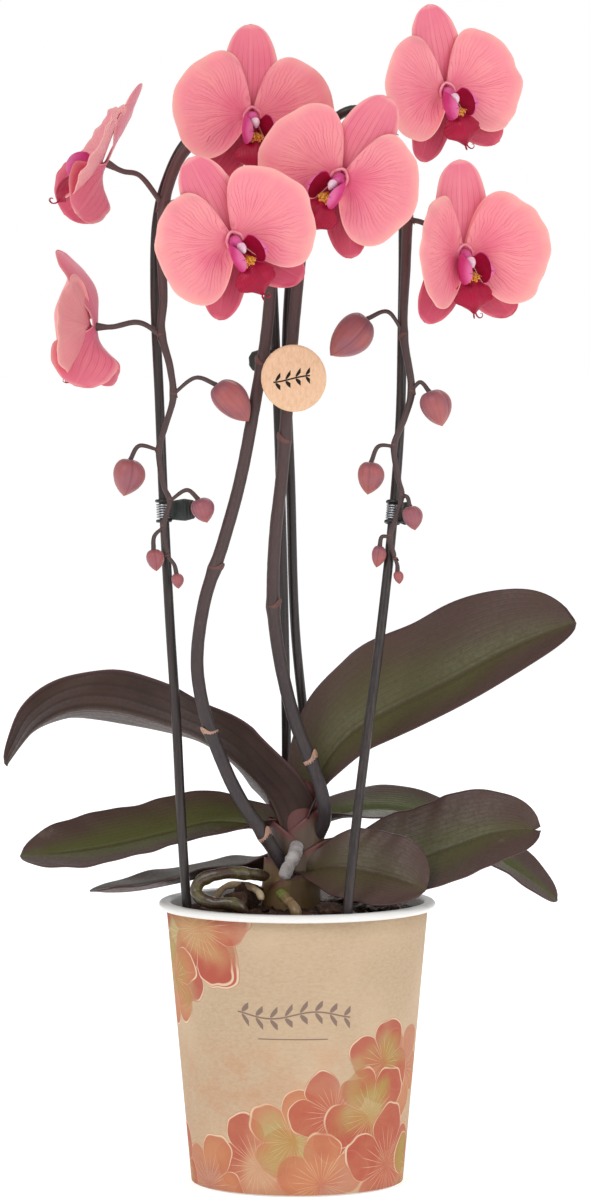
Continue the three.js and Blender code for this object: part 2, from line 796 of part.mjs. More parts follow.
// One broad petal, folded forward and lifted; sign is 1 on the flower's right and -1 on its left.
function petalSheet(sign, fold, lift, extra) {
  const pointAt = (u, v) => {
    const spread = 2 * v - 1;
    const angle = degrees(lift + PETAL_SPREAD * spread);
    const round = (1 - 0.28 * spread ** 2) * Math.sqrt(Math.max(0.02, 1 - spread ** 8));
    const reach = PETAL_START + (PETAL_REACH + extra - PETAL_START) * u * round;
    const across = reach * Math.cos(angle);
    const cup = PETAL_CUP * u * u * (1 - 0.5 * spread ** 2);
    const height = PETAL_LEVEL + cup + across * Math.sin(degrees(fold));
    return new THREE.Vector3(sign * across * Math.cos(degrees(fold)), reach * Math.sin(angle), height);
  };
  return sheet(pointAt, PETAL_THICKNESS + 2 * extra, 3, 7);
}

// Both petals of one flower, joined where they meet behind the column.
function petalPair(flower, extra) {
  const claw = new THREE.CylinderGeometry(CLAW_RADIUS, CLAW_RADIUS, PETAL_THICKNESS + 2 * extra, 8);
  claw.rotateX(Math.PI / 2).translate(0, 0, PETAL_LEVEL);
  const petals = [-1, 1].map((sign, which) =>
    solid(petalSheet(sign, flower.fold[which], flower.lift[which], extra)),
  );
  return joined([...petals, solid(claw)]);
}

function ball(radii, at, turn = [0, 0, 0]) {
  const shape = new THREE.SphereGeometry(1, 6, 4);
  shape.scale(...radii).rotateX(turn[0]).rotateY(turn[1]).rotateZ(turn[2]);
  return solid(shape.translate(...at));
}

function lipBody() {
  const column = new THREE.CylinderGeometry(COLUMN_RADIUS, COLUMN_RADIUS, COLUMN_LENGTH, 7);
  column.rotateX(Math.PI / 2).translate(0, 0.5, LIP_START + COLUMN_LENGTH / 2);
  const parts = [solid(column)];
  parts.push(ball([4, 8.5, 4.4], [0, -6.2, LIP_START + 5.4], [0.35, 0, 0]));
  for (const side of [-1, 1]) {
    parts.push(ball([6.6, 6, 4], [side * 5, -4, LIP_START + 6.6], [0, side * -0.7, side * -0.5]));
  }
  parts.push(ball([7.6, 10, 1.6], [0, -14.5, LIP_START + 8.4], [0.35, 0, 0]));
  return joined(parts);
}

// ---------------------------------------------------------------- clips and tag

// Each clip grips one leg of a hoop at a height above the rim; its jaws reach to one side.
const CLIPS = [
  { name: 'clip_left', hoop: 0, leg: 'outer', height: 179, side: 1, reach: 12 },
  { name: 'clip_right', hoop: 1, leg: 'outer', height: 178, side: 1, reach: 5.5 },
  { name: 'clip_centre', hoop: 0, leg: 'inner', height: 247, side: -1, reach: 9 },
];
const CLIP_HEIGHT = 10;
const CLIP_WIRE = 1.1;
const JAW_DEPTH = 5;

// Where a hoop's leg crosses a height, and the way that the leg runs there.
function legAt(hoop, leg, z) {
  const points = smooth(hoopRoute(hoop)).getPoints(400);
  if (leg === 'inner') points.reverse();
  const number = points.findIndex((point) => point.z >= z);
  const along = points[number].clone().sub(points[number - 1]).normalize();
  return { at: points[number], along };
}

function clipBody(clip) {
  const { at, along } = legAt(HOOPS[clip.hoop], clip.leg, POT_HEIGHT + clip.height);
  const turn = new THREE.Quaternion().setFromUnitVectors(UP, along);
  const inner = HOOP_RADIUS + 2 * GAP;
  const outer = inner + CLIP_WIRE;
  const low = -CLIP_HEIGHT / 2;
  const high = CLIP_HEIGHT / 2;
  const coil = turned([[inner, low], [outer, low], [outer, high], [inner, high], [inner, low]], 10);
  const jaws = new THREE.BoxGeometry(clip.reach, JAW_DEPTH, CLIP_HEIGHT - 1);
  jaws.translate(clip.side * (inner + 0.6 + clip.reach / 2), 0, 0);
  for (const shape of [coil, jaws]) shape.applyQuaternion(turn).translate(...at.toArray());
  return joined([solid(coil), solid(jaws)]);
}

const TAG_AT = [-3, -14, 237.5];

function tagBody() {
  const outline = new THREE.Shape();
  const count = 28;
  for (let i = 0; i < count; i += 1) {
    const angle = (i / count) * 2 * Math.PI;
    const swell = 1 + 0.16 * Math.sin(angle) + 0.1 * Math.cos(angle);
    const x = TAG_HALF_WIDTH * swell * Math.cos(angle);
    const y = TAG_HALF_HEIGHT * swell * Math.sin(angle);
    if (i === 0) outline.moveTo(x, y);
    else outline.lineTo(x, y);
  }
  outline.closePath();
  const plate = new THREE.ExtrudeGeometry(outline, { depth: TAG_THICKNESS, bevelEnabled: false });
  return plate.rotateX(Math.PI / 2).translate(...vec(TAG_AT).add(RIM).toArray());
}

// ---------------------------------------------------------------- assembly

const WHITE_PLASTIC = finish(0xf2efe8, 0.45);
const KRAFT_PAPER = finish(0xd6ba96, 0.85);
const CLEAR_PLASTIC = finish(0xdfe6e2, 0.25);
const BARK = finish(0x3a261c, 0.95);
const ROOT = finish(0x6f6a45, 0.6);
const DRY_ROOT = finish(0xb9a98c, 0.8);
const STEM = finish(0x5f4646, 0.5);
const ROD = finish(0x2d2626, 0.4);
const LEAF = finish(0x4a5a34, 0.45);
const DARK_LEAF = finish(0x5b4744, 0.5);
const BUD = finish(0xa55555, 0.5);
const PETAL = finish(0xee8c91, 0.55);
const SEPAL = finish(0xe1738c, 0.55);
const LIP = finish(0xaf193c, 0.5);
const CLIP = finish(0x1c2420, 0.5);
const CARD = finish(0xf0c8a0, 0.8);

function buildPot() {
  add('cover_pot', coverPot(), WHITE_PLASTIC);
  add('paper_sleeve', paperSleeve(), KRAFT_PAPER);
  add('grow_pot', growPot(), CLEAR_PLASTIC);
}

function buildHoops() {
  for (const hoop of HOOPS) add(hoop.name, hoopTube(hoop, HOOP_RADIUS), ROD);
}

function buildPlantBase() {
  const crownGap = solid(crownTube(GAP));
  const hoopGaps = HOOPS.map((hoop) => solid(hoopTube(hoop, HOOP_RADIUS + GAP)));
  const rootGaps = ROOTS.map((root) => solid(rootTube(root, GAP)));
  const chipGaps = CHIPS.map((chip) => solid(chipShape(chip, GAP)));
  add('crown', crownTube(0), DARK_LEAF);
  ROOTS.forEach((root, number) => {
    const cutters = [crownGap, ...hoopGaps, ...rootGaps.slice(0, number)];
    add(root.name, largest(without(solid(rootTube(root, 0)), cutters)), number === 1 ? DRY_ROOT : ROOT);
  });
  CHIPS.forEach((chip, number) => {
    const cutters = [crownGap, ...hoopGaps, ...rootGaps, ...chipGaps.slice(0, number)];
    add(`bark_chip_${number + 1}`, largest(without(solid(chipShape(chip, 0)), cutters)), BARK);
  });
  const cutters = [crownGap, ...hoopGaps, ...rootGaps, ...chipGaps];
  add('bark_mix', largest(without(solid(barkBody()), cutters)), BARK);
}

// The spikes grow out between the leaves, and each leaf clasps the ones made after it.
function buildLeaves() {
  const cutters = [solid(crownTube(GAP)), ...SPIKES.map((spike) => solid(mainStem(spike, GAP)))];
  LEAVES.forEach((leaf, number) => {
    const blade = largest(without(solid(leafSheet(leaf, 0)), cutters));
    add(`leaf_${number + 1}`, blade, number === 1 ? DARK_LEAF : LEAF);
    cutters.push(solid(leafSheet(leaf, GAP)));
  });
}

function buildSpikes() {
  const crownGap = solid(crownTube(GAP));
  SPIKES.forEach((spike, number) => {
    add(spike.name, largest(without(spikeBody(number), [crownGap])), STEM);
  });
  for (const bud of BUDS) {
    const from = vec(bud.from).add(RIM);
    const to = vec(bud.to).add(RIM);
    add(bud.name, aimed(budShape(from.distanceTo(to), bud.width), from, to), BUD);
  }
}

function buildFlowers() {
  FLOWERS.forEach((flower, number) => {
    const place = new THREE.Group();
    place.applyMatrix4(flowerMatrix(flower));
    group.add(place);
    const lip = largest(without(lipBody(), [petalPair(flower, GAP)]));
    add(`flower_${number + 1}_sepals`, sepals(flower), SEPAL, place);
    add(`flower_${number + 1}_petals`, petalPair(flower, 0), PETAL, place);
    add(`flower_${number + 1}_lip`, lip, LIP, place);
  });
}

buildPot();
buildHoops();
buildPlantBase();
buildLeaves();
buildSpikes();
buildFlowers();
for (const clip of CLIPS) add(clip.name, clipBody(clip), CLIP);
add('tag', tagBody(), CARD);

export default group;
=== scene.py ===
"""Potted moth orchid: two flower spikes over two hoops, in a printed cover pot.

Every piece is built in millimetres from the middle of the pot's rim and placed by the packed frame.
"""

import math

import bmesh
import bpy
import numpy as np
from bpy.props import FloatProperty, FloatVectorProperty, IntProperty, PointerProperty
from mathutils import Matrix, Vector


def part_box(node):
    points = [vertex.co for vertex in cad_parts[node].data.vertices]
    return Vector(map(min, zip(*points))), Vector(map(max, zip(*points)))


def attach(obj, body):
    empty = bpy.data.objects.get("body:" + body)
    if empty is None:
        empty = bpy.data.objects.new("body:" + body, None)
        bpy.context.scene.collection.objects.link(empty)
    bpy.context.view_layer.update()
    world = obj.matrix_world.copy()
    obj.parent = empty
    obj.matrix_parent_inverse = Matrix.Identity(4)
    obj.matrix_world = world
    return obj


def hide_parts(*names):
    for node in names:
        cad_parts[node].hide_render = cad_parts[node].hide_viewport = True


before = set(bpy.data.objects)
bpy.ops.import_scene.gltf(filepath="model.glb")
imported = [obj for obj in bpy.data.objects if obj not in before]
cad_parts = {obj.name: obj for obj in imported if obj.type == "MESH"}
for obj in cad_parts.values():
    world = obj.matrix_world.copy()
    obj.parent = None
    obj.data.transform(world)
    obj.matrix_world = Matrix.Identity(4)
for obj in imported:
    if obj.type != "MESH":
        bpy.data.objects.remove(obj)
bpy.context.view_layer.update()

bl_info = {
    "name": "Potted moth orchid",
    "version": (1, 0, 0),
    "blender": (4, 5, 0),
    "location": "View3D > Sidebar > Orchid",
    "description": "Builds a moth orchid with two arching spikes in a printed cover pot",
    "category": "Add Mesh",
}

MM = 0.001
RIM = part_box("cover_pot")[1][2] / MM
BARK_DROP = 4
LINER_GAP = 5.6
RIM_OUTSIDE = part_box("cover_pot")[1][0] / MM
SLEEVE_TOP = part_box("paper_sleeve")[1][2] / MM
UP = np.array([0.0, 0.0, 1.0])
TURN = 2 * math.pi


# ------------------------------------------------------------------ colours


def linear(red, green, blue):
    """A colour given by its screen values from 0 to 255, as Blender's own linear values."""
    shares = [value / 255 for value in (red, green, blue)]
    return [v / 12.92 if v <= 0.04045 else ((v + 0.055) / 1.055) ** 2.4 for v in shares] + [1.0]


def tint(name, about, red, green, blue):
    return FloatVectorProperty(
        name=name,
        description=about,
        subtype="COLOR",
        size=4,
        min=0,
        max=1,
        default=linear(red, green, blue),
    )


def length(name, about, millimetres):
    return FloatProperty(
        name=name,
        description=about,
        subtype="DISTANCE",
        unit="LENGTH",
        min=0,
        default=millimetres * MM,
    )


def amount(name, about, default, highest=1.0):
    return FloatProperty(name=name, description=about, subtype="FACTOR", min=0, max=highest, default=default)


def count(name, about, default):
    return IntProperty(name=name, description=about, min=0, default=default)


# ------------------------------------------------------------------ settings


class OrchidPotSettings(bpy.types.PropertyGroup):
    """Sizes and colours of the cover pot, its sleeve and the grow pot."""

    wall: length("Wall", "Thickness of the cover pot's wall", 1.6)
    floor: length("Floor", "Thickness of the cover pot's floor", 2.4)
    roll: length("Rim roll", "Height of the rolled rim", 3.6)
    white: tint("White", "Colour of the cover pot", 240, 239, 236)
    paper: tint("Paper", "Colour of the kraft paper", 200, 176, 148)
    outline: tint("Outline", "Colour of the lines of the print", 236, 214, 182)
    coral: tint("Coral", "Strong colour of the print", 180, 88, 72)
    peach: tint("Peach", "Warm middle colour of the print", 198, 132, 94)
    lime: tint("Lime", "Green of the print", 168, 150, 72)
    ink: tint("Ink", "Colour of the small sprig and rule", 122, 100, 94)


class OrchidBarkSettings(bpy.types.PropertyGroup):
    """Sizes and colours of the bark and the roots."""

    chips: count("Chips", "How many loose chips lie on the bark", 150)
    chip_size: length("Chip size", "Length of a middling bark chip", 9.0)
    bark: tint("Bark", "Main colour of the bark", 52, 33, 24)
    bark_light: tint("Light bark", "Colour of the split faces of the bark", 104, 70, 48)
    root: tint("Root", "Colour of the green roots", 98, 92, 50)
    root_dry: tint("Dry root", "Colour of the dried roots", 190, 172, 140)


class OrchidLeafSettings(bpy.types.PropertyGroup):
    """Sizes and colours of the leaves and the crown."""

    thickness: length("Thickness", "Thickness of a leaf at its midrib", 2.2)
    edge: length("Edge", "Thickness of a leaf at its edge", 0.7)
    green: tint("Green", "Colour of the middle of a young leaf", 88, 94, 44)
    olive: tint("Olive", "Colour of most of a leaf", 82, 68, 48)
    purple: tint("Purple", "Colour of the edges of a leaf", 84, 62, 56)
    under: tint("Underside", "Colour of the back of a leaf", 74, 54, 47)
    rim: tint("Sheath rim", "Colour of the rims of the sheaths", 104, 52, 50)


class OrchidStemSettings(bpy.types.PropertyGroup):
    """Sizes and colours of the hoops, the spikes and the buds."""

    rod: length("Rod", "Radius of a hoop's rod", 2.2)
    base: length("Stem base", "Radius of a spike at its base", 3.15)
    middle: length("Stem middle", "Radius of a spike where the flowers start", 2.7)
    tip: length("Stem tip", "Radius of a spike at its tip", 1.1)
    pedicel: length("Pedicel", "Radius of a flower's stalk", 1.25)
    stalk: length("Bud stalk", "Radius of a bud's stalk", 0.9)
    rod_colour: tint("Rod colour", "Colour of the hoops", 38, 30, 30)
    stem_colour: tint("Stem colour", "Colour of the spikes", 74, 53, 53)
    stem_dark: tint("Dark stem", "Colour of the lower part of the spikes", 46, 39, 43)
    bract: tint("Bract", "Colour of the dry bracts", 190, 150, 130)
    bud: tint("Bud", "Colour of the buds", 170, 88, 86)
    bud_dark: tint("Bud shade", "Colour of the buds' seams and bases", 122, 64, 74)


class OrchidFlowerSettings(bpy.types.PropertyGroup):
    """Sizes and colours of the flowers."""

    reach: length("Petal reach", "Length of a petal from the flower's centre", 36.5)
    cup: length("Petal cup", "How far a petal's edge curls forward", 4.5)
    thickness: length("Thickness", "Thickness of a petal near the centre", 0.9)
    sepal: length("Top sepal", "Length of the top sepal", 40.0)
    side_sepal: length("Side sepal", "Length of the two lower sepals", 35.0)
    salmon: tint("Petal", "Main colour of the petals", 242, 140, 152)
    pink: tint("Petal centre", "Colour of the petals near the centre", 228, 92, 130)
    peach: tint("Petal edge", "Colour of the petals' edges", 250, 190, 172)
    vein: tint("Vein", "Colour of the veins", 206, 74, 106)
    rose: tint("Sepal", "Main colour of the sepals", 226, 112, 136)
    # The lower sepals' colour is darker than the top sepal's: painted shade.
    shaded_side_sepal: tint("Side sepal colour", "Main colour of the lower sepals", 196, 66, 98)
    magenta: tint("Side lobe", "Colour of the outside of the lip's side lobes", 212, 74, 142)
    crimson: tint("Lip", "Colour of the lip", 172, 14, 58)
    gold: tint("Callus", "Colour of the callus", 226, 152, 36)
    cap: tint("Anther cap", "Colour of the column's tip", 246, 214, 224)


class OrchidStageSettings(bpy.types.PropertyGroup):
    """Floor, light and camera."""

    floor: tint("Floor", "Colour of the floor", 250, 250, 250)
    key: FloatProperty(name="Key", description="Power of the main light", unit="POWER", min=0, default=21.5)
    fill: FloatProperty(
        name="Fill", description="Power of the second light", unit="POWER", min=0, default=10.5
    )
    sky: amount("Sky", "Strength of the light from all round", 0.58, 4.0)
    lens: FloatProperty(name="Lens", description="Focal length", unit="CAMERA", min=1, default=177.3)


# ------------------------------------------------------------------ routes and frames


def unit(vectors):
    size = np.linalg.norm(vectors, axis=-1, keepdims=True)
    return vectors / np.maximum(size, 1e-9)


def smooth_route(points, number):
    """Even points along a centripetal Catmull-Rom curve through the given ones."""
    given = np.array(points, float)
    given = np.vstack([2 * given[0] - given[1], given, 2 * given[-1] - given[-2]])
    fine = []
    for i in range(1, len(given) - 2):
        before, start, end, after = given[i - 1 : i + 3]
        first, middle, last = (
            math.sqrt(np.linalg.norm(b - a)) for a, b in ((before, start), (start, end), (end, after))
        )
        leave = (start - before) / first - (end - before) / (first + middle) + (end - start) / middle
        arrive = (end - start) / middle - (after - start) / (middle + last) + (after - end) / last
        leave, arrive = leave * middle, arrive * middle
        for t in np.linspace(0, 1, 24, endpoint=False):
            fine.append(
                (2 * t**3 - 3 * t**2 + 1) * start
                + (t**3 - 2 * t**2 + t) * leave
                + (3 * t**2 - 2 * t**3) * end
                + (t**3 - t**2) * arrive
            )
    fine.append(given[-2])
    fine = np.array(fine)
    steps = np.concatenate([[0], np.cumsum(np.linalg.norm(np.diff(fine, axis=0), axis=1))])
    at = np.linspace(0, steps[-1], number)
    return np.stack([np.interp(at, steps, fine[:, axis]) for axis in range(3)], axis=1)


def carried_frames(route, first=None):
    """Tangent and two cross directions at each point, carried along without twist."""
    along = unit(np.gradient(route, axis=0))
    side = np.array(first if first is not None else np.cross(along[0], [0.3, 0.9, 0.2]), float)
    sides = []
    for direction in along:
        side = side - direction * np.dot(side, direction)
        side = side / np.linalg.norm(side)
        sides.append(side)
    sides = np.array(sides)
    return along, sides, np.cross(along, sides)


def stacked(*values):
    """Arrays of matching shapes, joined along a new last axis."""
    return np.stack(np.broadcast_arrays(*values), axis=-1)


def spaced(number, crowding=0.5):
    """Numbers from -1 to 1 that lie closer together towards both ends."""
    even = np.linspace(-1, 1, number)
    return np.sin(np.linspace(-math.pi / 2, math.pi / 2, number)) * crowding + even * (1 - crowding)


def smoothstep(value, low, high):
    share = np.clip((np.asarray(value, float) - low) / (high - low), 0, 1)
    return share * share * (3 - 2 * share)


def ripple(seed, *values):
    """A smooth wavy number from about -1 to 1 that repeats only for the same seed."""
    rng = np.random.default_rng(seed)
    total = 0
    for number in range(3):
        waves = rng.uniform(1.5, 3.2, len(values)) * (number + 1)
        shift = rng.uniform(0, TURN)
        total = total + np.sin(sum(w * v for w, v in zip(waves, values)) + shift) / (number + 1.5)
    return total


# ------------------------------------------------------------------ meshes


class Shape:
    """Points, faces and texture coordinates of one piece, in millimetres from the rim's middle."""

    def __init__(self):
        self.points, self.faces, self.maps, self.looks, self.tones = [], [], [], [], []
        self.size = 0

    def add(self, points, faces, maps, look=0, tone=0.0):
        points = np.asarray(points, float).reshape(-1, 3)
        self.points.append(points)
        self.maps.append(np.asarray(maps, float).reshape(-1, 2))
        self.tones.append(np.broadcast_to(np.asarray(tone, float).ravel(), (len(points),)))
        self.faces.extend([tuple(v + self.size for v in face) for face in faces])
        self.looks.extend([look] * len(faces))
        self.size += len(points)
        return self

    def grid(self, points, maps, look=0, tone=0.0, flip=False):
        rows, columns = points.shape[:2]
        a = (np.arange(rows - 1)[:, None] * columns + np.arange(columns - 1)).ravel()
        corners = np.stack([a, a + columns, a + columns + 1, a + 1], axis=1)
        if flip:
            corners = corners[:, ::-1]
        return self.add(points, corners.tolist(), maps, look, tone)

    def sheet(self, middle, thickness, maps, looks=(0, 0), tone=0.0, ring=False):
        """A closed sheet round a middle surface, with rounded edges."""
        rows, columns = middle.shape[:2]
        across = np.gradient(middle, axis=1)
        if ring:
            wrapped = (middle[:, 1] - middle[:, -2]) / 2
            across[:, 0], across[:, -1] = wrapped, wrapped
        normal = unit(np.cross(np.gradient(middle, axis=0), across))
        half = np.broadcast_to(np.asarray(thickness, float), (rows, columns))[..., None] / 2
        tone = np.broadcast_to(np.asarray(tone, float), (rows, columns))
        self.grid(middle + normal * half, maps, looks[0], tone)
        self.grid(middle - normal * half, maps, looks[1], tone, flip=True)
        if ring:
            loops = [[(0, j) for j in range(columns)], [(rows - 1, j) for j in reversed(range(columns))]]
        else:
            loop = [(0, j) for j in range(columns)] + [(i, columns - 1) for i in range(1, rows)]
            loop += [(rows - 1, j) for j in range(columns - 2, -1, -1)]
            loop += [(i, 0) for i in range(rows - 2, -1, -1)]
            loops = [loop]
        for loop in loops:
            i, j = np.array(loop).T
            inner_j = j if ring else np.clip(j, 1, columns - 2)
            outward = unit(middle[i, j] - middle[np.clip(i, 1, rows - 2), inner_j])
            edge = middle[i, j] + outward * half[i, j] * 0.8
            over = middle[i, j] + normal[i, j] * half[i, j]
            beneath = middle[i, j] - normal[i, j] * half[i, j]
            strip = np.stack([over, edge, beneath], axis=0)
            self.grid(strip, np.stack([maps[i, j]] * 3), looks[0], np.stack([tone[i, j]] * 3))
        return self

    def tube(self, route, radii, sides, look=0, tone=0.0, depth=1.0, first=None):
        """A closed tube; each end shrinks to a point. depth squashes it across its first side."""
        along, one, two = carried_frames(route, first)
        radii = np.broadcast_to(np.asarray(radii, float), (len(route),))
        angle = np.linspace(0, TURN, sides + 1)
        ring = (
            route[:, None]
            + one[:, None] * (radii[:, None] * np.cos(angle) * depth)[..., None]
            + two[:, None] * (radii[:, None] * np.sin(angle))[..., None]
        )
        start, end = (np.repeat(route[i][None, None], sides + 1, axis=1) for i in (0, -1))
        points = np.concatenate([start, ring, end], axis=0)
        travelled = np.concatenate([[0], np.cumsum(np.linalg.norm(np.diff(route, axis=0), axis=1))])
        travelled = np.concatenate([[travelled[0]], travelled, [travelled[-1]]])
        maps = stacked(travelled[:, None], angle[None] / TURN)
        return self.grid(points, maps, look, tone)

    def mesh(self, name, looks, lift=RIM):
        points = (np.concatenate(self.points) + [0, 0, lift]) * MM
        mesh = bpy.data.meshes.new(name)
        mesh.from_pydata(points.tolist(), [], self.faces)
        corners = np.empty(len(mesh.loops), int)
        mesh.loops.foreach_get("vertex_index", corners)
        layer = mesh.uv_layers.new(name="UVMap")
        layer.data.foreach_set("uv", np.concatenate(self.maps)[corners].ravel())
        tone = mesh.attributes.new("tone", "FLOAT", "POINT")
        tone.data.foreach_set("value", np.concatenate(self.tones))
        mesh.polygons.foreach_set("material_index", self.looks)
        for look in looks:
            mesh.materials.append(look)
        close_mesh(mesh)
        return mesh


def close_mesh(mesh):
    """Joins seams and poles, points the faces outward and shades them smoothly."""
    work = bmesh.new()
    work.from_mesh(mesh)
    bmesh.ops.remove_doubles(work, verts=work.verts, dist=1e-6)
    bmesh.ops.recalc_face_normals(work, faces=work.faces)
    for face in work.faces:
        face.smooth = True
    work.to_mesh(mesh)
    work.free()


def place_piece(name, mesh, slot, *nodes):
    """Puts a finished mesh in the scene, on the one body, standing for its CAD nodes."""
    piece = bpy.data.objects.new(name, mesh)
    bpy.context.scene.collection.objects.link(piece)
    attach(piece, "root")
    if nodes:
        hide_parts(*nodes)
    return piece


def lathe(shape, profile, segments):
    """Turns a profile of [radius, height] about the pot's axis, from behind and round by the front."""
    profile = np.array(profile, float)
    angle = np.linspace(-math.pi, math.pi, segments + 1)
    radius, height = profile[:, 0][:, None], profile[:, 1][:, None]
    points = stacked(radius * np.sin(angle), -radius * np.cos(angle), height - RIM)
    maps = stacked(angle / TURN + 0.5, height / RIM)
    return shape.grid(points, maps)


def arc(radius, height, size, start, end, steps=6):
    """Points of [radius, height] on an arc about a centre, angles in degrees."""
    turn = np.radians(np.linspace(start, end, steps))
    return [[radius + size * math.cos(a), height + size * math.sin(a)] for a in turn]


# ------------------------------------------------------------------ geometry nodes


class Tree:
    """A node tree being written; values that are sockets are linked, others are set."""

    def __init__(self, tree):
        self.tree = tree

    def node(self, kind, inputs=None, **settings):
        node = self.tree.nodes.new(kind)
        for name, value in settings.items():
            setattr(node, name, value)
        for name, value in (inputs or {}).items():
            self.put(node.inputs[name], value)
        return node

    def put(self, socket, value):
        if isinstance(value, bpy.types.NodeSocket):
            self.tree.links.new(value, socket)
        elif value is not None:
            socket.default_value = value

    def math(self, operation, first, second=None):
        node = self.node("ShaderNodeMath", operation=operation)
        for socket, value in zip(node.inputs, (first, second)):
            self.put(socket, value)
        return node.outputs[0]

    def ramp(self, value, low, high, start=0.0, end=1.0):
        """Takes a value from low to high onto start to end, and holds it there outside."""
        node = self.node("ShaderNodeMapRange", interpolation_type="SMOOTHSTEP")
        for socket, item in zip(node.inputs, (value, low, high, start, end)):
            self.put(socket, item)
        return node.outputs[0]

    def mix(self, share, first, second):
        node = self.node("ShaderNodeMix", data_type="RGBA")
        self.put(node.inputs[0], share)
        self.put(node.inputs[6], first)
        self.put(node.inputs[7], second)
        return node.outputs[2]


SOCKETS = {
    "geometry": "NodeSocketGeometry",
    "whole": "NodeSocketInt",
    "number": "NodeSocketFloat",
    "finish": "NodeSocketMaterial",
    "object": "NodeSocketObject",
}


def new_tree(name, **inputs):
    """An empty geometry tree with named inputs, and its first and last nodes."""
    tree = bpy.data.node_groups.new(name, "GeometryNodeTree")
    for label, kind in inputs.items():
        tree.interface.new_socket(label.replace("_", " "), in_out="INPUT", socket_type=SOCKETS[kind])
    tree.interface.new_socket("Result", in_out="OUTPUT", socket_type=SOCKETS["geometry"])
    build = Tree(tree)
    return tree, build, build.node("NodeGroupInput").outputs, build.node("NodeGroupOutput").inputs["Result"]


def finish_tree(build, geometry, finish, result):
    """Ends a tree as every tree here ends: real geometry, then its finish."""
    real = build.node("GeometryNodeRealizeInstances", {"Geometry": geometry})
    last = build.node("GeometryNodeSetMaterial", {"Geometry": real.outputs[0], "Material": finish})
    build.put(result, last.outputs[0])


def run_tree(mesh, tree, **values):
    """Runs a tree on a mesh and returns the plain mesh that it makes."""
    holder = bpy.data.objects.new("holder", mesh)
    bpy.context.scene.collection.objects.link(holder)
    modifier = holder.modifiers.new("Shape", "NODES")
    modifier.node_group = tree
    for item in tree.interface.items_tree:
        key = item.name.replace(" ", "_")
        if item.in_out == "INPUT" and key in values:
            modifier[item.identifier] = values[key]
    bpy.context.view_layer.update()
    made = holder.evaluated_get(bpy.context.evaluated_depsgraph_get())
    result = bpy.data.meshes.new_from_object(made)
    bpy.data.objects.remove(holder)
    if not result.polygons:
        raise RuntimeError(f"{tree.name} made nothing")
    for face in result.polygons:
        face.use_smooth = True
    return result


def tube_tree():
    """Round tubes along edges, as thick as the edges' own thickness says, with optional lumps."""
    tree, build, given, result = new_tree(
        "Tube along a route", Route="geometry", Sides="whole", Lumps="number", Finish="finish"
    )
    curve = build.node("GeometryNodeMeshToCurve", {"Mesh": given["Route"]}).outputs[0]
    far = build.node("GeometryNodeSplineParameter").outputs["Length"]
    store = build.node("GeometryNodeStoreNamedAttribute", {"Geometry": curve, "Name": "far"})
    build.put(store.inputs["Value"], far)
    section = build.node("GeometryNodeCurvePrimitiveCircle", {"Resolution": given["Sides"], "Radius": 1.0})
    thick = build.node("GeometryNodeInputNamedAttribute", {"Name": "thickness"}).outputs["Attribute"]
    tube = build.node(
        "GeometryNodeCurveToMesh",
        {
            "Curve": store.outputs[0],
            "Profile Curve": section.outputs["Curve"],
            "Scale": thick,
            "Fill Caps": True,
        },
    )
    noise = build.node("ShaderNodeTexNoise", {"Scale": 170.0, "Detail": 2.0})
    rise = build.math("MULTIPLY", build.math("SUBTRACT", noise.outputs[0], 0.5), given["Lumps"])
    normal = build.node("GeometryNodeInputNormal").outputs[0]
    offset = build.node("ShaderNodeVectorMath", operation="SCALE")
    build.put(offset.inputs[0], normal)
    build.put(offset.inputs["Scale"], rise)
    moved = build.node(
        "GeometryNodeSetPosition", {"Geometry": tube.outputs[0], "Offset": offset.outputs[0]}
    )
    finish_tree(build, moved.outputs[0], given["Finish"], result)
    return tree


def ring_tree():
    """Copies of one shape at points, each turned and scaled by the point's own values."""
    tree, build, given, result = new_tree(
        "Copies at points", Points="geometry", Copy="object", Finish="finish"
    )
    source = build.node("GeometryNodeObjectInfo", {"Object": given["Copy"]}).outputs["Geometry"]
    turn = build.node("GeometryNodeInputNamedAttribute", {"Name": "turn"}, data_type="FLOAT_VECTOR")
    spin = build.node("FunctionNodeEulerToRotation", {"Euler": turn.outputs["Attribute"]})
    size = build.node("GeometryNodeInputNamedAttribute", {"Name": "size"}, data_type="FLOAT_VECTOR")
    copies = build.node(
        "GeometryNodeInstanceOnPoints",
        {
            "Points": given["Points"],
            "Instance": source,
            "Rotation": spin.outputs[0],
            "Scale": size.outputs["Attribute"],
        },
    )
    finish_tree(build, copies.outputs[0], given["Finish"], result)
    return tree


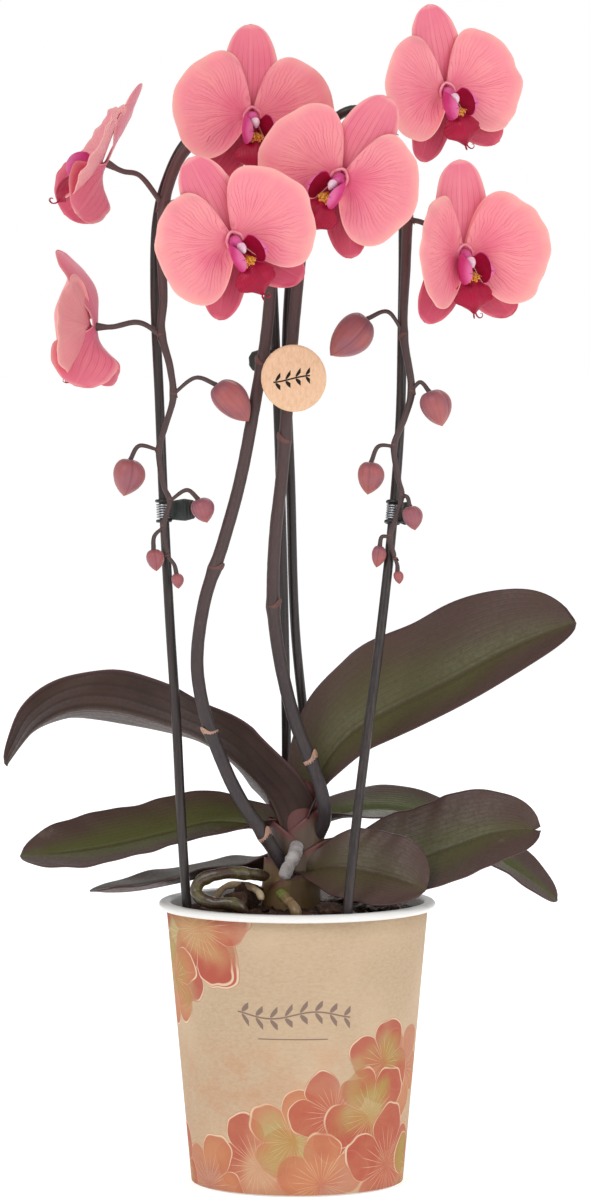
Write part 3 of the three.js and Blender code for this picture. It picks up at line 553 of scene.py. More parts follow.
def scatter_tree():
    """Chips strewn over a surface, turned and sized at random from a fixed seed."""
    tree, build, given, result = new_tree(
        "Strewn chips",
        Surface="geometry",
        Chip_one="object",
        Chip_two="object",
        Chip_three="object",
        Number="number",
        Spacing="number",
        Size="number",
        Seed="whole",
        Finish="finish",
    )
    spread = build.node(
        "GeometryNodeDistributePointsOnFaces",
        {
            "Mesh": given["Surface"],
            "Distance Min": given["Spacing"],
            "Density Max": given["Number"],
            "Seed": given["Seed"],
        },
        distribute_method="POISSON",
    )
    join = build.node("GeometryNodeJoinGeometry")
    for label in ("Chip one", "Chip two", "Chip three"):
        info = build.node("GeometryNodeObjectInfo", {"Object": given[label], "As Instance": True})
        build.tree.links.new(info.outputs["Geometry"], join.inputs[0])
    turn = build.node("FunctionNodeRandomValue", data_type="FLOAT_VECTOR")
    build.put(turn.inputs["Min"], (-0.55, -0.55, 0.0))
    build.put(turn.inputs["Max"], (0.55, 0.55, TURN))
    build.put(turn.inputs["Seed"], given["Seed"])
    grow = build.node("FunctionNodeRandomValue", data_type="FLOAT")
    build.put(grow.inputs[2], 0.6)
    build.put(grow.inputs[3], 1.35)
    build.put(grow.inputs["Seed"], given["Seed"])
    scale = build.math("MULTIPLY", grow.outputs[1], given["Size"])
    copies = build.node(
        "GeometryNodeInstanceOnPoints",
        {
            "Points": spread.outputs["Points"],
            "Instance": join.outputs[0],
            "Pick Instance": True,
            "Rotation": turn.outputs[0],
            "Scale": scale,
        },
    )
    finish_tree(build, copies.outputs[0], given["Finish"], result)
    return tree


def coil_tree():
    """A wire spring about +Z, centred on the origin."""
    tree, build, given, result = new_tree(
        "Wire spring", Base="geometry", Turns="number", Height="number", Radius="number", Wire="number", Finish="finish"
    )
    coil = build.node(
        "GeometryNodeCurveSpiral",
        {
            "Resolution": 20,
            "Rotations": given["Turns"],
            "Start Radius": given["Radius"],
            "End Radius": given["Radius"],
            "Height": given["Height"],
        },
    )
    wire = build.node("GeometryNodeCurvePrimitiveCircle", {"Resolution": 8, "Radius": given["Wire"]})
    tube = build.node(
        "GeometryNodeCurveToMesh",
        {"Curve": coil.outputs[0], "Profile Curve": wire.outputs["Curve"], "Fill Caps": True},
    )
    drop = build.node("ShaderNodeCombineXYZ", {"Z": build.math("MULTIPLY", given["Height"], -0.5)})
    moved = build.node(
        "GeometryNodeSetPosition", {"Geometry": tube.outputs[0], "Offset": drop.outputs[0]}
    )
    finish_tree(build, moved.outputs[0], given["Finish"], result)
    return tree


def routes_mesh(name, routes):
    """A mesh of bare edges along routes, with the thickness of each point in metres."""
    points, edges, thickness = [], [], []
    for route, radii in routes:
        start = len(points)
        points.extend(((np.asarray(route) + [0, 0, RIM]) * MM).tolist())
        thickness.extend(np.broadcast_to(np.asarray(radii, float) * MM, (len(route),)).tolist())
        edges.extend((start + i, start + i + 1) for i in range(len(route) - 1))
    mesh = bpy.data.meshes.new(name)
    mesh.from_pydata(points, edges, [])
    mesh.attributes.new("thickness", "FLOAT", "POINT").data.foreach_set("value", thickness)
    return mesh


def rounded(radius, number, start=True, end=True, share=0.04):
    """A radius for each point, shrunk at the chosen ends so that they look round."""
    t = np.linspace(0, 1, number)
    radii = np.broadcast_to(np.asarray(radius, float), (number,)).copy()
    if start:
        radii *= np.sqrt(np.clip(1 - np.clip(1 - t / share, 0, 0.999) ** 2, 0, 1))
    if end:
        radii *= np.sqrt(np.clip(1 - np.clip(1 - (1 - t) / share, 0, 0.999) ** 2, 0, 1))
    return radii


# ------------------------------------------------------------------ finishes


class Look(Tree):
    """One material, written from nodes."""

    def __init__(self, name, **shader):
        self.material = bpy.data.materials.new(name)
        self.material.use_nodes = True
        super().__init__(self.material.node_tree)
        self.tree.nodes.clear()
        self.shader = self.node("ShaderNodeBsdfPrincipled")
        output = self.node("ShaderNodeOutputMaterial")
        self.tree.links.new(self.shader.outputs[0], output.inputs[0])
        self.here = self.node("ShaderNodeTexCoord").outputs["Object"]
        self.set(**shader)

    def set(self, **shader):
        for name, value in shader.items():
            self.put(self.shader.inputs[name.replace("_", " ")], value)
        return self.material

    def chart(self):
        """The two texture coordinates of the piece's own map."""
        node = self.node("ShaderNodeUVMap", uv_map="UVMap")
        parts = self.node("ShaderNodeSeparateXYZ", {0: node.outputs[0]})
        return parts.outputs[0], parts.outputs[1]

    def height(self):
        return self.node("ShaderNodeSeparateXYZ", {0: self.here}).outputs[2]

    def value(self, name):
        return self.node("ShaderNodeAttribute", attribute_name=name).outputs["Fac"]

    def from_middle(self, v):
        """0 in the middle of a map's second coordinate and 1 at either side."""
        return self.times(self.math("ABSOLUTE", self.math("SUBTRACT", v, 0.5)), 2.0)

    def sway(self, value, amount):
        """A noise's value, moved about 0 and scaled."""
        return self.times(self.math("SUBTRACT", value, 0.5), amount)

    def noise(self, scale, detail=3.0, vector=None, rough=0.55, bend=0.0):
        inputs = {"Scale": scale, "Detail": detail, "Roughness": rough, "Distortion": bend}
        node = self.node("ShaderNodeTexNoise", inputs)
        self.put(node.inputs["Vector"], vector or self.here)
        return node.outputs[0]

    def cells(self, scale):
        node = self.node("ShaderNodeTexVoronoi", {"Scale": scale, "Vector": self.here})
        return node.outputs["Distance"]

    def stretched(self, x, y, z):
        node = self.node("ShaderNodeMapping", {"Vector": self.here})
        node.inputs["Scale"].default_value = (x, y, z)
        return node.outputs[0]

    def times(self, *values):
        total = values[0]
        for value in values[1:]:
            total = self.math("MULTIPLY", total, value)
        return total

    def lines(self, value, number, wander, width):
        """1 on thin lines at even steps of a value, which wander a little, and 0 between them."""
        moved = self.math("ADD", value, wander)
        wave = self.math("ABSOLUTE", self.math("SINE", self.math("MULTIPLY", moved, number * math.pi)))
        return self.ramp(wave, 0.0, width, 1.0, 0.0)

    def bump(self, height, distance, strength=1.0):
        """Raises the surface by a height from 0 to 1, over a distance in millimetres."""
        node = self.node(
            "ShaderNodeBump", {"Height": height, "Distance": distance * MM, "Strength": strength}
        )
        previous = self.shader.inputs["Normal"]
        if previous.is_linked:
            self.put(node.inputs["Normal"], previous.links[0].from_socket)
        self.put(previous, node.outputs[0])


LOOKS = {}


def look(name):
    """The named finish, made once."""
    if name not in LOOKS:
        LOOKS[name] = MAKERS[name]()
    return LOOKS[name]


def white_glaze():
    s = bpy.context.scene.orchid_pot
    made = Look("white_glaze", IOR=1.5, Coat_Weight=0.25, Coat_Roughness=0.12)
    cloud = made.noise(26.0, 4)
    # Darker towards the bottom: the lowest 12 mm of the pot are mixed towards grey-brown.
    low_darkening = made.ramp(made.height(), 0.0, 0.012, 1.0, 0.0)
    base = made.mix(made.times(cloud, 0.25), list(s.white), linear(222, 220, 214))
    made.set(Base_Color=made.mix(made.times(low_darkening, 0.35), base, linear(190, 182, 170)))
    made.set(Roughness=made.ramp(cloud, 0.3, 0.7, 0.26, 0.38))
    made.bump(made.noise(420.0, 3), 0.12, 0.5)
    return made.material


def blossom_group(s):
    """One painted blossom over what lies under it: round petals, cream outlines and hair lines."""
    group = bpy.data.node_groups.new("Painted blossom", "ShaderNodeTree")
    numbers = ("Across", "Height", "Centre across", "Centre height", "Radius", "Petals", "Turn", "Wash")
    for name in numbers:
        group.interface.new_socket(name, in_out="INPUT", socket_type="NodeSocketFloat")
    for name in ("Heart", "Edge", "Under"):
        group.interface.new_socket(name, in_out="INPUT", socket_type="NodeSocketColor")
    group.interface.new_socket("Colour", in_out="OUTPUT", socket_type="NodeSocketColor")
    build = Tree(group)
    given = build.node("NodeGroupInput").outputs
    result = build.node("NodeGroupOutput").inputs[0]
    m = build.math

    band, blend = build.ramp, build.mix
    dx = m("SUBTRACT", given["Across"], given["Centre across"])
    dz = m("SUBTRACT", given["Height"], given["Centre height"])
    far = m("SQRT", m("ADD", m("MULTIPLY", dx, dx), m("MULTIPLY", dz, dz)))
    angle = m("ADD", m("ARCTAN2", dz, dx), given["Turn"])
    lobe = m("ABSOLUTE", m("COSINE", m("MULTIPLY", angle, m("MULTIPLY", given["Petals"], 0.5))))
    edge = m("MULTIPLY", given["Radius"], m("ADD", m("MULTIPLY", m("POWER", lobe, 0.55), 0.42), 0.58))
    edge = m("MULTIPLY", edge, m("ADD", m("MULTIPLY", given["Wash"], 0.75), 0.64))
    share = m("DIVIDE", far, edge)
    mixed = m("ADD", m("MULTIPLY", share, 0.4), m("MULTIPLY", given["Wash"], 2.2))
    fill = blend(band(mixed, 0.95, 1.6), given["Heart"], given["Edge"])
    dark = band(share, 0.72, 0.96)
    fill = blend(m("MULTIPLY", dark, 0.3), fill, list(s.coral))
    seam = m("MULTIPLY", band(lobe, 0.02, 0.07, 1.0, 0.0), 0.45)
    rim = m("MULTIPLY", band(share, 0.96, 0.975), band(share, 0.995, 1.01, 1.0, 0.0))
    rim = m("MULTIPLY", rim, band(given["Wash"], 0.4, 0.56))
    hair = m("ABSOLUTE", m("SINE", m("MULTIPLY", angle, m("MULTIPLY", given["Petals"], 2.5))))
    hair = m("MULTIPLY", band(hair, 0.0, 0.2, 1.0, 0.0), band(share, 0.7, 0.42, 0.0, 1.0))
    hair = m("MULTIPLY", hair, band(share, 0.06, 0.16))
    line = m("MAXIMUM", m("MAXIMUM", rim, hair), m("MULTIPLY", seam, band(share, 1.0, 0.98, 0.0, 1.0)))
    thin = band(given["Wash"], 0.28, 0.62, 0.55, 1.0)
    inside = m("MULTIPLY", band(share, 1.02, 1.0, 0.0, 1.0), thin)
    painted = blend(m("MULTIPLY", line, 0.85), fill, list(s.outline))
    build.put(result, blend(m("MULTIPLY", inside, 0.93), given["Under"], painted))
    return group


# Blossoms on the sleeve: across and up in millimetres, radius, petals, turn, heart and edge colours.
BLOSSOMS = [
    (-58, 118, 34, 5, 0.4, "lime", "coral"),
    (-46, 122, 26, 5, 1.1, "peach", "coral"),
    (-72, 96, 22, 5, 2.0, "lime", "peach"),
    (60, 56, 22, 5, 0.2, "coral", "peach"),
    (108, 84, 22, 5, 0.9, "peach", "coral"),
    (44, 60, 20, 4, 0.3, "lime", "coral"),
    (-20, 14, 24, 5, 0.6, "peach", "coral"),
    (-52, 2, 24, 5, 0.1, "coral", "peach"),
    (-2, 26, 23, 5, 1.2, "lime", "peach"),
    (18, 38, 21, 5, 0.5, "coral", "coral"),
    (38, 36, 25, 5, 1.7, "lime", "coral"),
    (12, 6, 24, 5, 2.2, "coral", "peach"),
    (52, 12, 27, 5, 0.9, "peach", "coral"),
    (120, 20, 28, 5, 0.4, "lime", "coral"),
    (-118, 30, 28, 5, 1.4, "peach", "coral"),
    (-100, 100, 24, 5, 0.7, "coral", "lime"),
    (150, 96, 26, 5, 0.2, "peach", "coral"),
    (84, 8, 24, 5, 1.1, "coral", "lime"),
    (-86, 8, 22, 5, 0.3, "lime", "coral"),
]
SLEEVE_GIRTH = 342.0


def printed_paper():
    s = bpy.context.scene.orchid_pot
    made = Look("printed_paper", IOR=1.45, Specular_IOR_Level=0.3)
    u, v = made.chart()
    across = made.times(made.math("SUBTRACT", u, 0.5), SLEEVE_GIRTH)
    height = made.times(v, RIM)
    wash = made.noise(70.0, 4, rough=0.6)
    wobble = made.noise(38.0, 2)
    fibre = made.noise(1.0, 4, vector=made.stretched(420, 420, 900), rough=0.7)
    crease = made.noise(1.0, 3, vector=made.stretched(170, 170, 460), rough=0.6, bend=1.2)
    base = made.mix(made.ramp(fibre, 0.3, 0.75), list(s.paper), linear(190, 162, 130))
    base = made.mix(made.ramp(made.noise(14.0, 2), 0.35, 0.7), base, linear(210, 184, 154))
    group = blossom_group(s)
    hues = {"coral": list(s.coral), "peach": list(s.peach), "lime": list(s.lime)}
    for x, z, radius, petals, turn, heart, edge in BLOSSOMS:
        node = made.node("ShaderNodeGroup", node_tree=group)
        values = {
            "Across": across,
            "Height": height,
            "Centre across": float(x),
            "Centre height": float(z),
            "Radius": float(radius),
            "Petals": float(petals),
            "Turn": turn,
            "Wash": wobble,
            "Heart": hues[heart],
            "Edge": hues[edge],
            "Under": base,
        }
        for name, value in values.items():
            made.put(node.inputs[name], value)
        base = node.outputs[0]
    bleed = made.ramp(wash, 0.3, 0.75, 0.0, 0.34)
    bleed = made.times(bleed, made.ramp(height, 76.0, 60.0))
    base = made.mix(bleed, base, list(s.peach))
    print_here = sprig(made, across, height, -2.0, 84.0, 26.4, 6.6, 3.1)
    rule = made.times(
        made.ramp(made.math("ABSOLUTE", made.math("SUBTRACT", height, 73.0)), 0.2, 0.36, 1.0, 0.0),
        made.ramp(made.math("ABSOLUTE", made.math("ADD", across, 2.0)), 15.6, 16.0, 1.0, 0.0),
    )
    base = made.mix(made.times(made.math("MAXIMUM", print_here, rule), 0.85), base, list(s.ink))
    made.set(Base_Color=base, Roughness=made.ramp(fibre, 0.2, 0.8, 0.62, 0.8))
    made.bump(crease, 0.5, 0.5)
    made.bump(fibre, 0.1, 0.4)
    return made.material


def sprig(made, across, height, x, z, half, step, leaf):
    """1 on a lying sprig: a wavy stem with a pair of slim leaves at even steps."""
    m = made.math
    run = m("SUBTRACT", across, x)
    wave = m("MULTIPLY", m("SINE", m("MULTIPLY", run, 0.16)), 1.6)
    rise = m("SUBTRACT", m("SUBTRACT", height, z), wave)
    within = made.ramp(m("ABSOLUTE", m("SUBTRACT", run, 0.5)), half - 1.0, half - 0.7, 1.0, 0.0)
    stem = made.ramp(m("ABSOLUTE", rise), 0.28, 0.46, 1.0, 0.0)
    local = m("SUBTRACT", m("MULTIPLY", m("FRACT", m("DIVIDE", run, step)), step), step / 2)
    up = m("ABSOLUTE", rise)
    lean = m("SUBTRACT", local, m("MULTIPLY", up, 0.7))
    slim = m(
        "ADD",
        m("POWER", m("DIVIDE", lean, leaf * 0.42), 2),
        m("POWER", m("DIVIDE", m("SUBTRACT", up, leaf), leaf * 0.85), 2)
    )
    leaves = made.ramp(slim, 0.85, 1.1, 1.0, 0.0)
    return made.times(m("MAXIMUM", stem, leaves), within)


def clear_plastic():
    made = Look("clear_plastic", IOR=1.46, Transmission_Weight=0.75)
    scuff = made.noise(1.0, 4, vector=made.stretched(300, 300, 60))
    made.set(Base_Color=made.mix(scuff, linear(232, 238, 234), linear(196, 206, 200)))
    made.set(Roughness=made.ramp(scuff, 0.3, 0.8, 0.1, 0.42))
    made.bump(scuff, 0.1, 0.3)
    return made.material


def bark_look():
    s = bpy.context.scene.orchid_bark
    made = Look("bark", Specular_IOR_Level=0.35)
    grain = made.noise(1.0, 5, vector=made.stretched(520, 190, 640), rough=0.65, bend=0.6)
    patch = made.noise(95.0, 3)
    base = made.mix(made.ramp(patch, 0.42, 0.64), list(s.bark), linear(84, 54, 36))
    base = made.mix(made.ramp(grain, 0.52, 0.74), base, list(s.bark_light))
    base = made.mix(made.ramp(made.noise(240.0, 2), 0.5, 0.3, 0.0, 0.7), base, linear(26, 18, 16))
    made.set(Base_Color=base, Roughness=made.ramp(patch, 0.35, 0.7, 0.95, 0.42))
    made.bump(grain, 0.9, 0.8)
    made.bump(made.cells(330.0), 0.5, 0.5)
    return made.material


def root_look(dry):
    s = bpy.context.scene.orchid_bark
    name = "dry_root" if dry else "green_root"
    made = Look(name, Coat_Weight=0.0 if dry else 0.5, Coat_Roughness=0.15)
    patch = made.noise(120.0, 4)
    fine = made.noise(700.0, 3)
    if dry:
        base = made.mix(made.ramp(patch, 0.35, 0.65), list(s.root_dry), linear(146, 118, 88))
    else:
        base = made.mix(made.ramp(patch, 0.46, 0.7), linear(66, 46, 31), list(s.root))
        base = made.mix(made.ramp(fine, 0.62, 0.72, 0.0, 0.4), base, linear(166, 142, 98))
    made.set(Base_Color=base, Roughness=made.ramp(fine, 0.3, 0.7, 0.8 if dry else 0.24, 0.9 if dry else 0.5))
    made.bump(fine, 0.25, 0.5)
    made.bump(patch, 0.7, 0.6)
    return made.material


def grey_root():
    made = Look("grey_root", Sheen_Weight=0.25)
    patch = made.noise(150.0, 4)
    speck = made.cells(900.0)
    base = made.mix(made.ramp(patch, 0.3, 0.7), linear(176, 170, 168), linear(128, 120, 118))
    base = made.mix(made.ramp(speck, 0.16, 0.3, 0.45, 0.0), base, linear(120, 106, 96))
    made.set(Base_Color=base, Roughness=made.ramp(patch, 0.3, 0.7, 0.7, 0.85))
    made.bump(speck, 0.3, 0.5)
    return made.material


def green_tip():
    made = Look("green_tip", Coat_Weight=0.4, Coat_Roughness=0.2)
    patch = made.noise(110.0, 3)
    tone = made.value("far")
    base = made.mix(made.ramp(tone, 0.012, 0.03), linear(140, 110, 74), linear(122, 152, 60))
    made.set(Base_Color=made.mix(made.times(patch, 0.5), base, linear(92, 84, 44)))
    made.set(Roughness=made.ramp(patch, 0.3, 0.7, 0.3, 0.5))
    made.bump(patch, 0.5, 0.5)
    return made.material


def leaf_top():
    s = bpy.context.scene.orchid_leaf
    made = Look("leaf_top", Coat_Weight=0.05, Coat_Roughness=0.35, Specular_IOR_Level=0.3)
    u, v = made.chart()
    tone = made.value("tone")
    wander = made.noise(22.0, 3)
    side = made.from_middle(v)
    reach = made.math("ADD", side, made.sway(wander, 0.7))
    ends = made.ramp(u, 0.45, 1.0, 0.0, 0.55)
    brown = made.ramp(made.math("ADD", reach, ends), 0.35, 1.15)
    base = made.mix(made.times(tone, made.ramp(reach, 0.9, 0.1)), list(s.olive), list(s.green))
    base = made.mix(brown, base, list(s.purple))
    speck = made.noise(520.0, 4, rough=0.7)
    base = made.mix(made.ramp(speck, 0.4, 0.8, 0.0, 0.35), base, linear(56, 50, 36))
    veins = made.lines(v, 22.0, made.times(wander, 0.02), 0.7)
    base = made.mix(made.times(veins, 0.1), base, linear(70, 66, 44))
    # Painted shade: a darker line down the middle of the leaf, in the midrib's groove.
    rib = made.ramp(side, 0.0, 0.045, 1.0, 0.0)
    base = made.mix(made.times(rib, 0.55), base, linear(70, 50, 46))
    margin = made.ramp(side, 0.955, 0.99)
    base = made.mix(made.times(margin, 0.6), base, linear(76, 48, 52))
    dust = made.ramp(made.noise(60.0, 5, rough=0.75), 0.6, 0.8, 0.0, 0.16)
    base = made.mix(dust, base, linear(170, 166, 150))
    made.set(Base_Color=base, Roughness=made.ramp(speck, 0.3, 0.7, 0.34, 0.5))
    made.bump(veins, 0.12, 0.35)
    made.bump(speck, 0.14, 0.45)
    return made.material


def leaf_back():
    s = bpy.context.scene.orchid_leaf
    made = Look("leaf_back", Specular_IOR_Level=0.2)
    u, v = made.chart()
    wander = made.noise(26.0, 3)
    veins = made.lines(v, 7.0, made.times(wander, 0.07), 0.9)
    base = made.mix(made.ramp(wander, 0.35, 0.65), list(s.under), linear(58, 42, 37))
    base = made.mix(made.times(veins, 0.35), base, linear(46, 33, 31))
    side = made.from_middle(v)
    base = made.mix(made.ramp(side, 0.0, 0.06, 0.5, 0.0), base, linear(112, 90, 76))
    base = made.mix(made.ramp(side, 0.93, 0.99, 0.0, 0.6), base, linear(80, 52, 56))
    speck = made.noise(600.0, 4, rough=0.7)
    made.set(Base_Color=base, Roughness=made.ramp(speck, 0.3, 0.7, 0.42, 0.6))
    made.bump(veins, 0.3, 0.5)
    made.bump(speck, 0.12, 0.45)
    return made.material


def sheath_look():
    s = bpy.context.scene.orchid_leaf
    made = Look("leaf_sheath", Coat_Weight=0.1, Coat_Roughness=0.3)
    u, v = made.chart()
    patch = made.noise(48.0, 3)
    streak = made.noise(1.0, 4, vector=made.stretched(420, 420, 60))
    base = made.mix(made.ramp(patch, 0.35, 0.7), linear(92, 72, 54), linear(74, 56, 52))
    base = made.mix(made.ramp(made.value("tone"), 0.3, 1.0, 0.0, 0.7), base, linear(142, 112, 66))
    base = made.mix(made.ramp(streak, 0.45, 0.75, 0.0, 0.35), base, linear(70, 52, 48))
    base = made.mix(made.ramp(u, 0.88, 0.98, 0.0, 0.85), base, list(s.rim))
    made.set(Base_Color=base, Roughness=made.ramp(streak, 0.3, 0.7, 0.36, 0.52))
    made.bump(streak, 0.3, 0.5)
    return made.material


def stem_look():
    s = bpy.context.scene.orchid_stem
    made = Look("stem", Coat_Weight=0.08, Coat_Roughness=0.35)
    z = made.height()
    patch = made.noise(60.0, 3)
    fine = made.noise(1.0, 4, vector=made.stretched(1400, 1400, 300), rough=0.65)
    base = made.mix(made.ramp(z, 0.2, 0.3), list(s.stem_dark), list(s.stem_colour))
    base = made.mix(made.ramp(z, 0.38, 0.47, 0.0, 0.55), base, linear(104, 68, 66))
    base = made.mix(made.ramp(patch, 0.4, 0.75, 0.0, 0.5), base, linear(62, 50, 44))
    base = made.mix(made.ramp(fine, 0.45, 0.75, 0.0, 0.4), base, linear(100, 78, 74))
    made.set(Base_Color=base, Roughness=made.ramp(fine, 0.3, 0.7, 0.42, 0.6))
    made.bump(fine, 0.15, 0.5)
    return made.material


def bract_look():
    s = bpy.context.scene.orchid_stem
    made = Look("bract", Specular_IOR_Level=0.3)
    fine = made.noise(1.0, 4, vector=made.stretched(1200, 1200, 260))
    z = made.height()
    dark = made.ramp(z, 0.212, 0.23, 0.0, 1.0)
    base = made.mix(dark, list(s.bract), linear(112, 78, 74))
    made.set(Base_Color=made.mix(made.ramp(fine, 0.4, 0.75, 0.0, 0.55), base, linear(96, 66, 60)))
    made.set(Roughness=made.ramp(fine, 0.3, 0.7, 0.6, 0.8))
    made.bump(fine, 0.2, 0.6)
    return made.material


def rod_look():
    s = bpy.context.scene.orchid_stem
    made = Look("rod", Coat_Weight=0.15, Coat_Roughness=0.3)
    streak = made.noise(1.0, 3, vector=made.stretched(700, 700, 24))
    fine = made.noise(900.0, 3)
    base = made.mix(made.ramp(streak, 0.4, 0.7), list(s.rod_colour), linear(58, 46, 44))
    made.set(Base_Color=base, Roughness=made.ramp(fine, 0.3, 0.7, 0.32, 0.5))
    made.bump(streak, 0.12, 0.5)
    made.bump(fine, 0.05, 0.4)
    return made.material


def clip_look():
    made = Look("clip_plastic", Coat_Weight=0.2, Coat_Roughness=0.3)
    fine = made.noise(1100.0, 3)
    wear = made.noise(300.0, 4)
    made.set(
        Base_Color=made.mix(made.ramp(wear, 0.55, 0.75, 0.0, 0.5), linear(28, 36, 32), linear(70, 80, 74))
    )
    made.set(Roughness=made.ramp(fine, 0.3, 0.7, 0.3, 0.5))
    made.bump(fine, 0.06, 0.5)
    return made.material


def wire_look():
    made = Look("spring_wire", Metallic=1.0)
    fine = made.noise(1.0, 3, vector=made.stretched(400, 400, 3000))
    made.set(Base_Color=made.mix(fine, linear(196, 198, 200), linear(150, 152, 156)))
    made.set(Roughness=made.ramp(fine, 0.3, 0.7, 0.22, 0.38))
    made.bump(fine, 0.03, 0.4)
    return made.material


def card_look():
    made = Look("tag_card", Specular_IOR_Level=0.25)
    u, v = made.chart()
    fibre = made.noise(1.0, 5, vector=made.stretched(900, 900, 420), rough=0.7)
    base = made.mix(made.ramp(fibre, 0.35, 0.75), linear(242, 202, 168), linear(226, 182, 144))
    across = made.times(v, 30.0)
    height = made.times(u, 30.0)
    front = made.ramp(made.value("tone"), 0.4, 0.6)
    mark = sprig(made, across, height, 0.0, 2.0, 9.2, 4.6, 2.4)
    base = made.mix(made.times(mark, front), base, linear(30, 24, 22))
    made.set(Base_Color=base, Roughness=made.ramp(fibre, 0.3, 0.7, 0.7, 0.85))
    made.bump(fibre, 0.1, 0.5)
    return made.material


def bud_look():
    s = bpy.context.scene.orchid_stem
    made = Look("bud", Sheen_Weight=0.2, Coat_Weight=0.1, Coat_Roughness=0.35)
    u, v = made.chart()
    patch = made.noise(90.0, 3)
    fine = made.noise(900.0, 3)
    streak = made.lines(v, 15.0, made.times(patch, 0.05), 0.8)
    base = made.mix(made.ramp(patch, 0.35, 0.7), list(s.bud), linear(150, 84, 96))
    base = made.mix(made.ramp(u, 0.0, 0.22, 0.7, 0.0), base, list(s.bud_dark))
    base = made.mix(made.ramp(u, 0.7, 1.0, 0.0, 0.5), base, linear(196, 110, 92))
    base = made.mix(made.times(streak, 0.2), base, list(s.bud_dark))
    seam = made.ramp(made.value("tone"), 0.35, 0.95, 0.0, 0.75)
    base = made.mix(seam, base, list(s.bud_dark))
    made.set(Base_Color=base, Roughness=made.ramp(fine, 0.3, 0.7, 0.42, 0.6))
    made.bump(streak, 0.12, 0.4)
    made.bump(fine, 0.08, 0.5)
    return made.material


SOFT = {"Subsurface_Weight": 0.12, "Subsurface_Radius": (1.0, 0.35, 0.3), "Subsurface_Scale": 0.0025}


def petal_look(back=False):
    s = bpy.context.scene.orchid_flower
    made = Look("petal_back" if back else "petal_front", Sheen_Weight=0.1, Sheen_Roughness=0.4, **SOFT)
    u, v = made.chart()
    cloud = made.noise(55.0, 3)
    wander = made.sway(made.noise(80.0, 5), 0.11)
    low = made.times(made.ramp(v, 0.55, 0.08), made.ramp(u, 0.98, 0.25))
    base = made.mix(made.ramp(u, 0.04, 0.7), list(s.pink), list(s.salmon))
    base = made.mix(made.times(low, 0.7), base, linear(228, 98, 134))
    base = made.mix(made.ramp(cloud, 0.35, 0.7, 0.0, 0.4), base, linear(248, 166, 160))
    main = made.lines(v, 11.0, wander, 0.3)
    thin = made.lines(v, 34.0, wander, 0.5)
    patchy = made.ramp(made.noise(150.0, 2), 0.3, 0.6, 0.45, 1.0)
    main = made.times(main, patchy, made.ramp(u, 0.99, 0.35), made.math("ADD", made.times(low, 0.3), 0.6))
    thin = made.times(thin, patchy, made.ramp(u, 0.99, 0.6), 0.6)
    base = made.mix(made.math("MAXIMUM", main, thin), base, list(s.vein))
    edge = made.math("ADD", u, made.sway(cloud, 0.12))
    base = made.mix(made.ramp(edge, 0.84, 1.04, 0.0, 0.5), base, list(s.peach))
    # Painted highlight: a thin paler line along the very edge of the petal.
    base = made.mix(made.ramp(u, 0.97, 0.992, 0.0, 0.15), base, linear(250, 210, 202))
    if back:
        base = made.mix(0.42, base, linear(236, 164, 160))
    sparkle = made.noise(1500.0, 2)
    made.set(Base_Color=base, Roughness=made.ramp(sparkle, 0.3, 0.7, 0.46, 0.62))
    made.bump(made.math("MAXIMUM", main, thin), 0.1, 0.4)
    made.bump(sparkle, 0.03, 0.3)
    return made.material


def sepal_look(side=False):
    s = bpy.context.scene.orchid_flower
    made = Look("side_sepal" if side else "top_sepal", Sheen_Weight=0.25, Sheen_Roughness=0.4, **SOFT)
    u, v = made.chart()
    cloud = made.noise(60.0, 3)
    wander = made.sway(made.noise(90.0, 3), 0.05)
    across = made.from_middle(v)
    # For the lower sepals every colour here is a darker copy of the top sepal's: painted shade.
    main = list(s.shaded_side_sepal) if side else list(s.rose)
    base = made.mix(
        made.ramp(cloud, 0.35, 0.7, 0.0, 0.5), main, linear(214, 92, 112) if side else linear(236, 138, 148)
    )
    base = made.mix(
        made.ramp(u, 0.0, 0.35, 0.7, 0.0), base, linear(176, 34, 76) if side else linear(206, 76, 116)
    )
    veins = made.lines(v, 9.0, wander, 0.4)
    thin = made.lines(v, 27.0, wander, 0.55)
    marks = made.math("MAXIMUM", made.times(veins, 0.55), made.times(thin, 0.26))
    marks = made.times(marks, made.ramp(u, 1.0, 0.55))
    base = made.mix(marks, base, linear(160, 30, 70) if side else linear(198, 66, 104))
    base = made.mix(
        made.ramp(across, 0.0, 0.07, 0.18, 0.0),
        base,
        linear(226, 120, 140) if side else linear(240, 168, 170)
    )
    edge = made.math("MAXIMUM", made.ramp(across, 0.8, 1.0), made.ramp(u, 0.93, 1.0))
    base = made.mix(made.times(edge, 0.6), base, linear(232, 128, 138) if side else linear(246, 182, 172))
    sparkle = made.noise(1500.0, 2)
    made.set(Base_Color=base, Roughness=made.ramp(sparkle, 0.3, 0.7, 0.44, 0.6))
    made.bump(marks, 0.14, 0.5)
    made.bump(sparkle, 0.05, 0.5)
    return made.material


def lip_look(outside=False):
    s = bpy.context.scene.orchid_flower
    made = Look("lip_outside" if outside else "lip_inside", Specular_IOR_Level=0.25)
    u, v = made.chart()
    cloud = made.noise(160.0, 3)
    wander = made.sway(cloud, 0.06)
    veins = made.lines(v, 16.0, wander, 0.6)
    main = list(s.magenta) if outside else list(s.crimson)
    base = made.mix(
        made.ramp(cloud, 0.35, 0.65, 0.0, 0.55), main, linear(190, 36, 100) if outside else linear(146, 8, 44)
    )
    base = made.mix(made.times(veins, 0.4), base, linear(160, 24, 80) if outside else linear(116, 8, 34))
    if outside:
        base = made.mix(made.ramp(u, 0.72, 1.0, 0.0, 0.55), base, linear(236, 130, 176))
    made.set(Base_Color=base, Roughness=made.ramp(cloud, 0.3, 0.7, 0.34, 0.5))
    made.bump(veins, 0.12, 0.5)
    return made.material


